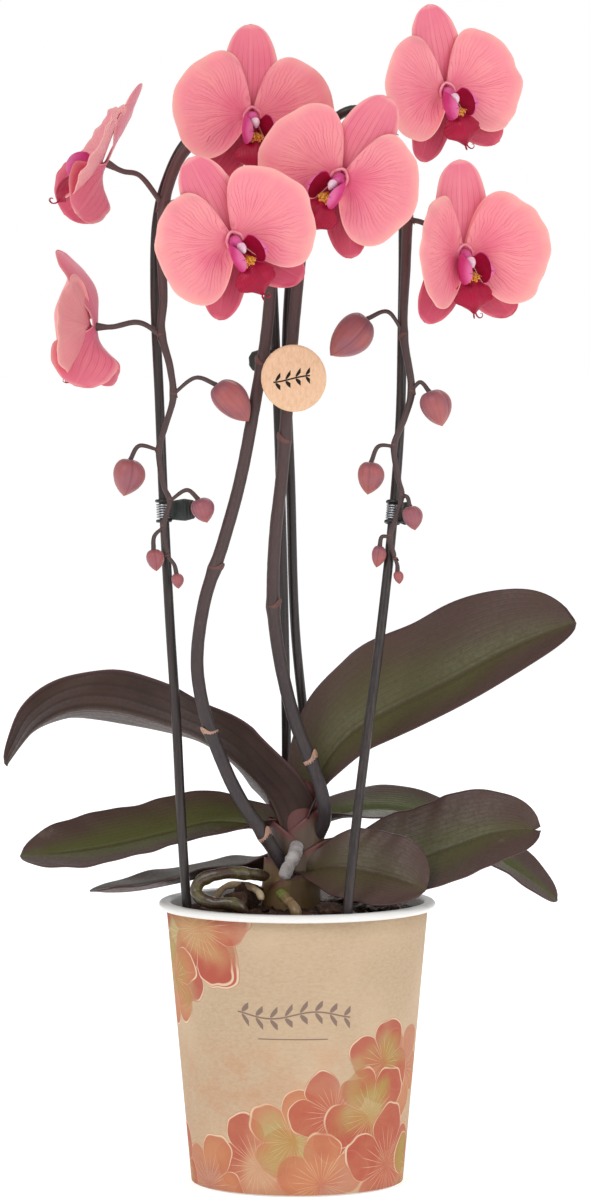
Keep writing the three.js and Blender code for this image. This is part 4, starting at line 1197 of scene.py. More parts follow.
def callus_look():
    s = bpy.context.scene.orchid_flower
    made = Look("callus", Coat_Weight=0.3, Coat_Roughness=0.2)
    spots = made.cells(1400.0)
    base = made.mix(made.ramp(made.noise(300.0, 2), 0.4, 0.7), list(s.gold), linear(232, 168, 70))
    base = made.mix(made.ramp(spots, 0.3, 0.42, 0.95, 0.0), base, linear(150, 22, 34))
    made.set(Base_Color=base, Roughness=made.ramp(spots, 0.1, 0.6, 0.3, 0.42))
    made.bump(spots, 0.15, 0.5)
    return made.material


def column_look(part):
    s = bpy.context.scene.orchid_flower
    made = Look(part, Coat_Weight=0.2, Coat_Roughness=0.25, **SOFT)
    cloud = made.noise(260.0, 3)
    hues = {
        "column": (linear(216, 96, 158), linear(196, 56, 130)),
        "anther_cap": (list(s.cap), linear(232, 178, 210)),
        "arch": (linear(240, 150, 166), linear(226, 116, 142)),
    }
    first, second = hues[part]
    made.set(Base_Color=made.mix(made.ramp(cloud, 0.35, 0.7), first, second))
    made.set(Roughness=made.ramp(cloud, 0.3, 0.7, 0.34, 0.48))
    made.bump(cloud, 0.2, 0.4)
    return made.material


def floor_look():
    s = bpy.context.scene.orchid_stage
    made = Look("pale_floor", Specular_IOR_Level=0.2, Emission_Color=list(s.floor), Emission_Strength=0.5)
    cloud = made.noise(2.0, 3)
    made.set(
        Base_Color=made.mix(made.times(cloud, 0.12), list(s.floor), linear(238, 238, 240)), Roughness=0.7
    )
    made.bump(made.noise(200.0, 2), 0.1, 0.1)
    return made.material


MAKERS = {
    "white_glaze": white_glaze,
    "printed_paper": printed_paper,
    "clear_plastic": clear_plastic,
    "bark": bark_look,
    "root": lambda: root_look(False),
    "dry_root": lambda: root_look(True),
    "grey_root": grey_root,
    "green_tip": green_tip,
    "leaf_top": leaf_top,
    "leaf_back": leaf_back,
    "sheath": sheath_look,
    "stem": stem_look,
    "bract": bract_look,
    "rod": rod_look,
    "clip": clip_look,
    "wire": wire_look,
    "card": card_look,
    "bud": bud_look,
    "petal": petal_look,
    "petal_back": lambda: petal_look(True),
    "sepal": sepal_look,
    "side_sepal": lambda: sepal_look(True),
    "lip": lip_look,
    "lip_outside": lambda: lip_look(True),
    "callus": callus_look,
    "column": lambda: column_look("column"),
    "cap": lambda: column_look("anther_cap"),
    "arch": lambda: column_look("arch"),
    "floor": floor_look,
}


# ------------------------------------------------------------------ the plant's own numbers

# Root routes as shares of the bark's radius across, and millimetres above the rim.
BARK_RADIUS = 53.0
ROOTS = {
    "root_loop": [
        (-0.24, -0.2, 12), (-0.42, -0.33, 14), (-0.64, -0.4, 14.5), (-0.83, -0.4, 11),
        (-0.87, -0.42, 6), (-0.74, -0.52, 2), (-0.54, -0.58, 1.5), (-0.42, -0.56, -4),
    ],
    "root_dry_curl": [
        (-0.3, -0.5, 3), (-0.34, -0.36, 6), (-0.46, -0.2, 8), (-0.62, -0.16, 7), (-0.7, -0.2, 2),
        (-0.72, -0.22, -5),
    ],
    "root_green_tip": [(0.02, -0.8, -6), (-0.02, -0.76, 0.5), (-0.1, -0.58, 4), (-0.14, -0.34, 5)],
    "root_grey_tip": [(0, -0.14, 26), (-0.03, -0.33, 22), (-0.08, -0.37, 17), (-0.12, -0.38, 12)],
}
ROOT_RADII = {"root_loop": 2.9, "root_dry_curl": 1.6, "root_green_tip": 2.4, "root_grey_tip": 3.1}

CHIPS = [
    ((-0.42, -0.12, 1.5), (8, 6, 9), (0.3, 0.35, 0.9)),
    ((-0.54, -0.3, 0), (6, 5, 7), (0.2, -0.3, 2.1)),
    ((0.3, -0.76, -1.5), (8, 5, 4.5), (0.2, 0.2, 0.4)),
]

# Each hoop's foot angle in degrees, and its line above the rim.
HOOPS = {
    "hoop_left": (193, [
        (-53, -13, 40), (-55, -10, 80), (-58, -7, 126), (-61, -3, 182), (-63, 2, 230), (-65, 4, 280),
        (-64, 6, 312), (-60, 7, 329), (-51, 8, 347), (-34, 9, 360), (-19, 10, 350), (-13, 10, 330),
        (-12, 10, 300), (-10, 10.5, 255), (-8, 11, 200), (-6, 15, 125), (-5, 23, 70), (-6, 28, 0),
    ]),
    "hoop_right": (296, [
        (27, -41, 42), (31, -34, 74), (37, -26, 118), (43, -14, 170), (47, -2, 220), (48, 4, 260),
        (48.5, 7, 300), (48, 8, 322), (43, 9, 348), (27, 10, 362), (9, 11, 350), (0, 13, 326),
        (-3, 15, 290), (-5, 16.5, 250), (-3, 17, 190), (-1, 20, 125), (4, 27, 70), (7, 31, 0),
    ]),
}

# Leaves: midrib, half width, near half's share, bank and how much less it is at the crown, fold, base share, opening, greenness, tip notch.
LEAVES = [
    ([(5, 0, 38), (11, 1, 59), (23, 3, 75), (40, 5, 85.5), (70, 8, 100), (98, 9, 115), (128, 9, 127)],
     33, 0.78, (46, 0), 24, 0.36, 0.45, 0.42, 0.0),
    ([(-4, -6, 28), (-11, -2, 47), (-24, 8, 61), (-43, 17, 73.5), (-66, 23, 82), (-88, 24, 87),
      (-107, 21, 86), (-122, 17, 78), (-134, 12, 61)],
     30, 1, (-28, 44), 12, 0.5, 0.35, 0.15, 0.0),
    ([(-8, 3, 33), (-38, 10, 34.5), (-61, 15, 28.5), (-86, 18, 22.5), (-110, 20, 19), (-128, 21, 18)],
     23, 1, (28, 0), 16, 0.4, 0.4, 0.7, 0.0),
    ([(-7, 6, 15), (-33, 15, 13), (-54, 21, 7.5), (-73, 24, 3.5), (-96, 27, 1)],
     18, 1, (4, 0), 10, 0.45, 0.4, 0.05, 0.0),
    ([(8, 9, 35), (29, 23, 39), (48, 32, 37.5), (66, 36, 31), (85, 38, 20), (104, 39, 8), (121, 39, -5)],
     18, 1, (26, 0), 14, 0.45, 0.4, 1.0, 0.0),
    ([(8, 2, 18), (33, 0, 15), (50, -2, 17), (70, -5, 24), (89, -7, 31), (107, -8, 33)],
     26, 1, (46, 0), 16, 0.4, 0.4, 0.45, 0.5),
    ([(2, -7, 13), (17, -16, 17), (33, -23, 15.5), (47, -29, 12.5), (58, -33, 8)],
     20, 1, (50, 0), 14, 0.32, 0.45, 0.1, 0.0),
]

# The crown's centre line, and for each sheath: the way it faces, its top, its radius and how green.
CROWN_LINE = [(-4, 0, -34), (-3, 0, 4), (0, 0, 26), (1, 1, 56)]
SHEATHS = [
    (-60, 12, 13.6, 0.9), (200, 18, 13.2, 0.8), (-12, 26, 12.8, 0.5), (176, 36, 12.2, 0.2),
    (8, 44, 11.6, 0.1),
]

SPIKES = {
    "flower_spike_left": [
        (-3, -9, 12), (-16, -16, 33), (-28, -18, 52), (-40, -18, 81), (-44.5, -18, 99), (-45.5, -17, 114),
        (-42, -15, 139), (-34, -12, 164), (-26, -8, 193), (-19.5, -3, 227), (-14, 1, 260), (-12, 3, 290),
        (-14, 3, 322), (-24, 2, 345), (-40, 1, 351), (-52, 1, 342), (-60, 0, 322), (-62, -1, 300),
        (-61, -4, 275), (-62, -5, 261), (-58, -7, 245), (-56.5, -8, 231), (-60, -9, 218), (-63, -10, 207),
        (-60.5, -11, 190), (-58, -12, 184), (-61, -13, 172), (-59, -14, 159),
    ],
    "flower_spike_right": [
        (10, -3, 31), (12.5, -9, 38), (12, -14, 47), (8, -14, 61), (1, -13, 78), (-4, -12, 94),
        (-8, -10, 112), (-11, -7, 136), (-10, -5, 168), (-7, -3, 195), (-4, 1, 234), (-1, 3, 270),
        (3, 4, 305), (9, 4, 331), (20, 3, 349), (36, 2, 354), (47, 1, 341), (50, -1, 318),
        (49.5, -3, 292), (48.5, -4, 260), (52, -9, 234), (49, -12, 222), (44, -15, 209), (46, -17, 194),
        (47.5, -18, 187), (44, -19, 174), (42, -19.5, 168), (44.5, -20, 158),
    ],
}

# Heights of the bare nodes on the lower stem of each spike.
BARE_NODES = {"flower_spike_left": (31, 78, 153, 245), "flower_spike_right": (65, 135, 211)}

# Buds: spike, the stalk's points, shoulder, tip and width.
BUDS = {
    "bud_l1": (0, [(-57, -8, 232), (-46, -9, 240)], (-37, -8, 237), (-22, -8, 220), 15),
    "bud_l2": (0, [(-63, -10, 207), (-72, -11, 209)], (-76, -11, 203), (-79, -11, 186), 14.5),
    "bud_l3": (0, [(-58, -12, 184), (-50, -13, 189)], (-45, -13, 185), (-41, -13, 174), 10.5),
    "bud_l4": (0, [(-61, -13, 172), (-65, -14, 168)], (-65.5, -14, 162), (-64, -14, 152), 8),
    "bud_l5": (0, [(-59, -14, 159), (-56, -14, 155)], (-55, -14, 151), (-54, -14, 144), 5.5),
    "bud_r1": (1, [(48.5, -4, 260), (41, -7, 270)], (32, -8, 267), (15, -9, 250), 17),
    "bud_r2": (1, [(52, -9, 234), (56, -11, 238)], (60, -13, 234), (66, -14, 218), 14),
    "bud_r3": (1, [(44, -15, 209), (37, -16, 209)], (33.5, -17, 202), (32, -17, 187), 12),
    "bud_r4": (1, [(47.5, -18, 187), (50, -20, 186)], (51, -21, 182), (53.5, -21, 171), 9),
    "bud_r5": (1, [(42, -19.5, 168), (38.5, -20, 168)], (37.5, -20, 164), (36, -20, 154), 6.5),
    "bud_r6": (1, [(44.5, -20, 158), (45.5, -20, 155)], (45.5, -20, 152.5), (46.5, -20, 146.5), 4.5),
}

# Flowers: centre; turn, pitch and roll; size; how far the left and right petals fold forward and are
# lifted; the top sepal's lean and curl, how far the lower sepals' outer edges come forward and the top
# one's right edge does; and the spike and points that the stalk starts with.
FLOWERS = [
    ((-21, -8, 359), (12, 2, 0), 1.02, (1, 4), (13, 3), (0, 2.6, 11, 0), 0, [(-27, 2, 347), (-24, 4, 356)]),
    ((-29, -60, 303), (17, -2, -25), 1.03, (4, 10), (11, 8), (-5, 2.6, 11, 0), 0,
     [(-60.5, 0, 318), (-52, -14, 320), (-40, -32, 310)]),
    ((20, -42, 331), (-15, -2, 28), 1.04, (4, 4), (-1, 8), (5, 2.6, 11, 0), 1, [(5, 4, 318), (10, -8, 330)]),
    ((66.5, -18, 370), (25, 0, -13), 0.98, (12, 3), (13, 1), (0, 2.6, 11, 0), 1,
     [(41, 2, 350), (50, 2, 362)]),
    ((74.5, -24, 297), (22, -3, -4), 1.04, (34, 21), (5, 3), (0, 2.6, 11, 0), 1,
     [(50, -1, 312), (58, -3, 310)]),
    (
        (-88, -6, 338),
        (-80, 26, 0),
        0.98,
        (4, 10),
        (6, 6),
        (0, 1, 52, 18),
        0,
        [(-61, -1, 318), (-72, -2, 332)]
    ),
    ((-93, -4, 263), (-104, 0, 0), 0.92, (40, 6), (4, 4), (0, 20, 54, 12), 0,
     [(-61.5, -5, 259), (-72, -5, 265)]),
]
NECK = -9.8
SEPAL_BACK = -1.8

CLIPS = {
    "clip_left": ("hoop_left", False, 179, 1, 12),
    "clip_right": ("hoop_right", False, 178, 1, 5.5),
    "clip_centre": ("hoop_left", True, 247, -1, 9),
}
TAG_AT = (-3, -14, 237.5)


# ------------------------------------------------------------------ pot, bark and roots


def pot_radius(height):
    """Outside radius of the cover pot's wall at a height."""
    return 47.9 + (59.6 - 47.9) * height / RIM


class OrchidBuild:
    """What every building operator shares."""

    bl_options = {"REGISTER", "UNDO"}

    def execute(self, context):
        self.build(context.scene)
        return {"FINISHED"}


class ORCHID_OT_pot(OrchidBuild, bpy.types.Operator):
    """Makes the cover pot, its printed paper sleeve and the clear grow pot"""

    bl_idname = "orchid.pot"
    bl_label = "Pot and sleeve"

    def build(self, scene):
        s = scene.orchid_pot
        wall, floor, roll = s.wall / MM, s.floor / MM, s.roll / MM
        under = RIM - roll
        outer = [[0, 0], [44, 0], [44.6, 0.6], [46.2, 0.6]]
        outer += arc(pot_radius(0) - 1.0, 1.0, 1.0, -90, 0)
        outer += [[pot_radius(z), z] for z in np.linspace(3, under - 0.6, 12)]
        outer += [[pot_radius(under) + 0.5, under]]
        outer += arc(RIM_OUTSIDE - roll / 2, RIM - roll / 2, roll / 2, -90, 90, 12)
        inside = pot_radius(RIM) - wall
        outer += arc(inside + 1.6, RIM - 1.6, 1.6, 90, 180, 6)
        outer += [[pot_radius(z) - wall, z] for z in np.linspace(RIM - 3, floor + 3, 10)]
        outer += arc(pot_radius(floor) - wall - 2, floor + 2, 2, 0, -90, 5)
        outer += [[20, floor], [0, floor]]
        mesh = lathe(Shape(), outer, 144).mesh("cover_pot_shell", [look("white_glaze")])
        place_piece("cover_pot_shell", mesh, "pot_white", "cover_pot")

        top = SLEEVE_TOP
        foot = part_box("paper_sleeve")[0][2] / MM
        inner = [[pot_radius(z) + 0.3, z] for z in np.linspace(top, foot, 16)]
        outside = [[r + 0.42, z] for r, z in inner[::-1]]
        edge_low = [[inner[-1][0] + 0.21, foot]]
        profile = [*inner, *edge_low, *outside, [inner[0][0] + 0.21, top + 0.05], inner[0]]
        mesh = lathe(Shape(), profile, 144).mesh("sleeve", [look("printed_paper")])
        place_piece("printed_sleeve", mesh, "kraft_paper", "paper_sleeve")

        self.grow_pot()

    def grow_pot(self):
        low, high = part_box("grow_pot")
        base, top = low[2] / MM, high[2] / MM
        wide = high[0] / MM
        narrow = pot_radius(base) - LINER_GAP
        wall = 0.9
        outer = [[0, base], [narrow - 1, base], [narrow, base + 1]]
        for z in np.linspace(base + 4, top - 6, 16):
            share = (z - base) / (top - base)
            outer.append([narrow + (wide - 0.6 - narrow) * share, z])
        outer += [[wide - 0.5, top - 5.4], [wide, top - 4.6], [wide, top - 0.5], [wide - 0.3, top]]
        inner = [[r - wall, max(z, base + wall)] for r, z in outer[:0:-1]]
        profile = [*outer, *inner, [0, base + wall]]
        mesh = lathe(Shape(), profile, 96).mesh("grow_pot_shell", [look("clear_plastic")])
        holder = bpy.data.objects.new("holder", mesh)
        bpy.context.scene.collection.objects.link(holder)
        cutters = Shape()
        for number in range(6):
            angle = number / 6 * TURN
            centre = np.array([27 * math.cos(angle), 27 * math.sin(angle), base - RIM])
            route = centre + np.array([[0, 0, -3.0], [0, 0, 4.0]])
            cutters.tube(route, 4.0, 24)
        cutter = bpy.data.objects.new("cutter", cutters.mesh("cutter", []))
        bpy.context.scene.collection.objects.link(cutter)
        cut = holder.modifiers.new("Holes", "BOOLEAN")
        cut.object = cutter
        cut.solver = "EXACT"
        bpy.context.view_layer.update()
        made = holder.evaluated_get(bpy.context.evaluated_depsgraph_get())
        result = bpy.data.meshes.new_from_object(made)
        for spare in (holder, cutter):
            bpy.data.objects.remove(spare)
        result.set_sharp_from_angle(angle=math.radians(40))
        place_piece("clear_grow_pot", result, "clear_plastic", "grow_pot")


def chip_mesh(seed):
    """A split chip about 1 long: a low-sided block with broken corners."""
    rng = np.random.default_rng(seed)
    work = bmesh.new()
    bmesh.ops.create_icosphere(work, subdivisions=1, radius=0.5)
    for vertex in work.verts:
        x, y, z = vertex.co
        keen = 1.0 + rng.uniform(-0.16, 0.2)
        vertex.co = (
            math.copysign(abs(x * 2) ** 0.7, x) * 0.52 * keen,
            math.copysign(abs(y * 2) ** 0.7, y) * 0.34 * keen,
            math.copysign(abs(z * 2) ** 0.6, z) * 0.17 * keen + rng.uniform(-0.03, 0.03),
        )
    mesh = bpy.data.meshes.new("chip")
    work.to_mesh(mesh)
    work.free()
    mesh.materials.append(look("bark"))
    return mesh


class ORCHID_OT_bark(OrchidBuild, bpy.types.Operator):
    """Makes the bark and the chips that are strewn over it"""

    bl_idname = "orchid.bark"
    bl_label = "Bark"

    def build(self, scene):
        s = scene.orchid_bark
        low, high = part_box("bark_mix")
        base, top = low[2] / MM, RIM - BARK_DROP
        angle = np.linspace(0, TURN, 97)
        rows = []
        wide_low, wide_high = pot_radius(base) - 6.9, BARK_RADIUS
        for share in np.linspace(0, 1, 12):
            height = base + (top - 3 - base) * share
            radius = wide_low + (wide_high - wide_low) * share
            rows.append((radius, height, 0.25))
        for share in (0.965, 0.92, 0.84, 0.76, 0.68, 0.6, 0.52, 0.44, 0.36, 0.28, 0.2, 0.12, 0.05):
            rows.append((share * BARK_RADIUS, top - (1.5 if share > 0.95 else 0), 1.0))
        rows = [(0.0, base, 0.0), *rows, (0.0, top, 0.0)]
        points = []
        for radius, height, rough in rows:
            x, y = radius * np.cos(angle), radius * np.sin(angle)
            lumps = ripple(11, x * 0.16, y * 0.16) * 1.3 + ripple(12, x * 0.4, y * 0.4) * 0.8
            lumps = lumps * (rough if height > top - 2 else 0)
            sink = -abs(ripple(13, x * 0.3, y * 0.3, height * 0.3)) * 0.5 * rough if 0 < rough < 1 else 0
            pull = 1 + (sink / max(radius, 1)) * np.ones_like(x)
            points.append(np.stack([x * pull, y * pull, height - RIM + lumps], axis=-1))
        points = np.array(points)
        maps = stacked(np.linspace(0, 1, len(rows))[:, None], angle[None] / TURN)
        body = Shape().grid(points, maps).mesh("bark_body", [look("bark")])
        place_piece("bark_body", body, "bark", "bark_mix")

        surface = Shape()
        rings = np.linspace(0.02, 0.88, 9) * BARK_RADIUS
        level = np.array([[[r * math.cos(a), r * math.sin(a), -4.4] for a in angle] for r in rings])
        surface.grid(level, np.zeros(level.shape[:2] + (2,)))
        chips = [bpy.data.objects.new(f"chip_source_{n}", chip_mesh(40 + n)) for n in range(3)]
        for chip in chips:
            scene.collection.objects.link(chip)
        strewn = run_tree(
            surface.mesh("bark_top", []),
            scatter_tree(),
            Chip_one=chips[0],
            Chip_two=chips[1],
            Chip_three=chips[2],
            Number=float(s.chips) * 400.0,
            Spacing=0.0052,
            Size=s.chip_size,
            Seed=7,
            Finish=look("bark"),
        )
        for chip in chips:
            bpy.data.objects.remove(chip)
        strewn.set_sharp_from_angle(angle=math.radians(32))
        place_piece("strewn_bark", strewn, "bark")
        for number, (at, size, turn) in enumerate(CHIPS):
            mesh = self.large_chip(number, at, size, turn)
            place_piece(f"large_chip_{number + 1}", mesh, "bark", f"bark_chip_{number + 1}")

    def large_chip(self, number, at, size, turn):
        rng = np.random.default_rng(90 + number)
        work = bmesh.new()
        bmesh.ops.create_icosphere(work, subdivisions=3, radius=1.0)
        cuts = [Vector(rng.normal(size=3)).normalized() for _ in range(9)]
        for vertex in work.verts:
            direction = vertex.co.normalized()
            reach = min([1.3] + [0.82 / max(direction.dot(c), 0.05) for c in cuts])
            grain = 0.03 * math.sin(17 * direction.x + 5 * direction.z) + 0.02 * math.sin(41 * direction.x)
            vertex.co = direction * (reach + grain) * 0.92
        turned = Matrix.Rotation(turn[2], 4, "Z") @ Matrix.Rotation(turn[1], 4, "Y")
        turned = turned @ Matrix.Rotation(turn[0], 4, "X") @ Matrix.Diagonal([v * MM for v in size] + [1])
        centre = Matrix.Translation([at[0] * BARK_RADIUS * MM, at[1] * BARK_RADIUS * MM, (at[2] + RIM) * MM])
        bmesh.ops.transform(work, matrix=centre @ turned, verts=work.verts)
        bmesh.ops.recalc_face_normals(work, faces=work.faces)
        for face in work.faces:
            face.smooth = True
        mesh = bpy.data.meshes.new("large_chip")
        work.to_mesh(mesh)
        work.free()
        mesh.materials.append(look("bark"))
        mesh.set_sharp_from_angle(angle=math.radians(38))
        return mesh


class ORCHID_OT_roots(OrchidBuild, bpy.types.Operator):
    """Makes the four roots that show above the bark"""

    bl_idname = "orchid.roots"
    bl_label = "Roots"

    def build(self, scene):
        tree = tube_tree()
        looks = {
            "root_loop": ("root", "root"),
            "root_dry_curl": ("dry_root", "dry_root"),
            "root_green_tip": ("green_tip", "root"),
            "root_grey_tip": ("grey_root", "root"),
        }
        for name, line in ROOTS.items():
            points = [(x * BARK_RADIUS, y * BARK_RADIUS, z) for x, y, z in line]
            route = smooth_route(points, 80)
            t = np.linspace(0, 1, len(route))
            swell = 1 + 0.08 * ripple(len(name), t * 9)
            radii = ROOT_RADII[name] * swell * rounded(1.0, len(route), share=0.09)
            finish, slot = looks[name]
            mesh = run_tree(
                routes_mesh(name, [(route, radii)]), tree, Sides=20, Lumps=0.0011, Finish=look(finish)
            )
            place_piece(f"{name}_skin", mesh, slot, name)


# ------------------------------------------------------------------ leaves and crown


def blade_share(u, base, opening):
    close = np.clip((u - 0.6) / 0.4, 0, 1)
    return (base + (1 - base) * smoothstep(u, 0, opening)) * np.sqrt(np.maximum(1 - close**2.3, 0.002))


class ORCHID_OT_leaves(OrchidBuild, bpy.types.Operator):
    """Makes the seven leaves"""

    bl_idname = "orchid.leaves"
    bl_label = "Leaves"

    def build(self, scene):
        s = scene.orchid_leaf
        for number, leaf in enumerate(LEAVES):
            mesh = self.leaf(number, leaf, s.thickness / MM, s.edge / MM)
            slot = "leaf_underside" if number == 1 else "leaf"
            place_piece(f"leaf_blade_{number + 1}", mesh, slot, f"leaf_{number + 1}")

    def leaf(self, number, leaf, thick, thin):
        line, half, near_share, bank, fold, base, opening, green, notch = leaf
        rows, columns = 72, 33
        u = (1 - np.cos(np.linspace(0, math.pi, rows))) / 2 * 0.35 + np.linspace(0, 1, rows) * 0.65
        fine = smooth_route(line, 401)
        even = np.linspace(0, 1, 401)
        along_fine = unit(np.gradient(fine, axis=0))
        rib = np.stack([np.interp(u, even, fine[:, k]) for k in range(3)], axis=1)
        along = unit(np.stack([np.interp(u, even, along_fine[:, k]) for k in range(3)], axis=1))
        near = unit(np.cross(along, UP))
        near[near[:, 1] > 0] *= -1
        top = unit(np.cross(along, near))
        top[top[:, 2] < 0] *= -1
        angle = np.radians(bank[0] - bank[1] * (1 - smoothstep(u, 0, 0.45)))[:, None]
        side = near * np.cos(angle) - top * np.sin(angle)
        face = top * np.cos(angle) + near * np.sin(angle)
        across = spaced(columns)
        width = half * blade_share(u, base, opening)[:, None] * np.where(across > 0, near_share, 1.0)
        clasp = math.radians(fold) + (
            math.radians(58) - math.radians(fold)
        ) * (1 - smoothstep(u, 0, 0.24)) ** 2
        clasp = clasp[:, None]
        lift = width * np.sin(clasp) * np.abs(across) ** 1.4
        wave = 0.9 * ripple(20 + number, u[:, None] * 5.2, across * 0.9) * np.abs(across) ** 2
        wave = wave * smoothstep(u, 0.1, 0.4)[:, None]
        groove = -0.9 * np.exp(-((across * width / 1.7) ** 2)) * smoothstep(u, 1.0, 0.8)[:, None]
        forward = notch * 9 * np.abs(across) ** 0.7 * smoothstep(u, 0.86, 1.0)[:, None]
        middle = (
            rib[:, None]
            + side[:, None] * (width * across * np.cos(clasp))[..., None]
            + face[:, None] * (lift + wave + groove)[..., None]
            + along[:, None] * forward[..., None]
        )
        body = thin + (thick - thin) * (1 - np.abs(across) ** 1.6)
        thickness = body * (0.35 + 0.65 * smoothstep(u, 1.0, 0.9))[:, None]
        maps = stacked(u[:, None], (across[None] + 1) / 2)
        test = np.cross(np.gradient(middle, axis=0), np.gradient(middle, axis=1))
        if (test * face[:, None]).sum() < 0:
            middle, thickness, maps = middle[:, ::-1], thickness[:, ::-1], maps[:, ::-1]
        shape = Shape().sheet(middle, thickness, maps, looks=(0, 1), tone=green)
        return shape.mesh(f"leaf_blade_{number + 1}", [look("leaf_top"), look("leaf_back")])


class ORCHID_OT_crown(OrchidBuild, bpy.types.Operator):
    """Makes the crown: the sheaths of the leaves, each clasping the next"""

    bl_idname = "orchid.crown"
    bl_label = "Crown"

    def build(self, scene):
        shape = Shape()
        core = smooth_route(CROWN_LINE, 60)
        t = np.linspace(0, 1, 60)
        radii = (7.6 + 3.2 * np.sin(t * 2.6)) * rounded(1.0, 60, share=0.12)
        shape.tube(core, radii, 40, depth=0.72, first=(0, 1, 0), tone=0.1)
        for facing, top, radius, green in SHEATHS:
            self.sheath(shape, core, facing, top, radius, green)
        mesh = shape.mesh("crown_sheaths", [look("sheath")])
        place_piece("crown_sheaths", mesh, "crown", "crown")

    def sheath(self, shape, core, facing, top, radius, green):
        angle = np.linspace(0, TURN, 65)
        off = np.cos(angle - math.radians(facing))
        low = min(-8, top - 30)
        u = np.linspace(0, 1, 26)[:, None]
        high = top - 7 + 9 * off - 4 * np.exp(-(((off + 1) / 0.12) ** 2))
        height = low + (high - low) * u
        x = np.interp(height, core[:, 2], core[:, 0])
        y = np.interp(height, core[:, 2], core[:, 1])
        lean = 1.1 * smoothstep(u, 0.75, 1.0) * np.clip(off, -0.3, 1)
        swell = radius * (0.92 + 0.08 * np.sin(u * 2.6)) + lean
        keel = 0.9 * np.exp(-(((off - 1) / 0.02) ** 2)) * smoothstep(u, 0.3, 1.0)
        wide = swell + keel
        points = stacked(x + wide * np.cos(angle), y + wide * 0.76 * np.sin(angle), height)
        maps = stacked(u, angle[None] / TURN)
        thickness = 1.0 - 0.55 * np.broadcast_to(u, points.shape[:2])
        shape.sheet(points, thickness, maps, tone=green, ring=True)


# ------------------------------------------------------------------ hoops, spikes and buds


def hoop_route(name, number=420):
    angle, line = HOOPS[name]
    turn = math.radians(angle)

    def foot(z):
        low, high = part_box("grow_pot")
        base, top = low[2] / MM, high[2] / MM
        narrow, wide = pot_radius(base) - LINER_GAP, high[0] / MM
        radius = narrow + (wide - narrow) * (z - base) / (top - base) - 0.9 - 2.2 - 2.4
        return (radius * math.cos(turn), radius * math.sin(turn), z - RIM)

    bark_top = RIM - BARK_DROP
    foot_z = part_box("grow_pot")[0][2] / MM + 22
    inner_x, inner_y = line[-1][:2]
    ends = [(inner_x, inner_y, bark_top - 20 - RIM), (inner_x, inner_y, foot_z - RIM)]
    return smooth_route([foot(foot_z), foot(bark_top - 20), foot(bark_top + 4), *line, *ends], number)


class ORCHID_OT_hoops(OrchidBuild, bpy.types.Operator):
    """Makes the two support hoops"""

    bl_idname = "orchid.hoops"
    bl_label = "Hoops"

    def build(self, scene):
        tree = tube_tree()
        radius = scene.orchid_stem.rod / MM
        for name in HOOPS:
            route = hoop_route(name)
            radii = rounded(radius, len(route), share=0.003)
            mesh = run_tree(
                routes_mesh(name, [(route, radii)]), tree, Sides=24, Lumps=0.0, Finish=look("rod")
            )
            place_piece(f"{name}_rod", mesh, "rod", name)


def flower_frame(flower):
    """Centre, right, top and front directions of a flower."""
    turn, pitch, roll = (math.radians(value) for value in flower[1])
    front = np.array([math.sin(turn) * math.cos(pitch), -math.cos(turn) * math.cos(pitch), math.sin(pitch)])
    level = np.array([math.cos(turn), math.sin(turn), 0])
    above = np.cross(front, level)
    top = above * math.cos(roll) + level * math.sin(roll)
    right = level * math.cos(roll) - above * math.sin(roll)
    return np.array(flower[0], float), right, top, front


def in_flower(flower, points):
    """Takes points of [right, up, forward] of a flower to their place."""
    centre, right, top, front = flower_frame(flower)
    points = np.asarray(points, float) * flower[2]
    return centre + points[..., :1] * right + points[..., 1:2] * top + points[..., 2:] * front


def bract_mesh():
    """A short collar about +Z of radius 1, drawn up to a point on its +X side."""
    angle = np.linspace(0, TURN, 33)
    u = np.linspace(0, 1, 7)[:, None]
    front = np.clip(np.cos(angle), 0, 1)
    height = -0.5 + u * (0.55 + 1.15 * front**4)
    radius = 1.03 + 0.06 * u + 0.22 * front**2 * u**2
    points = stacked(radius * np.cos(angle), radius * np.sin(angle), height)
    maps = stacked(u, angle[None] / TURN)
    shape = Shape().sheet(points / MM, 0.1 / MM, maps, ring=True)
    return shape.mesh("bract", [look("bract")], lift=0)


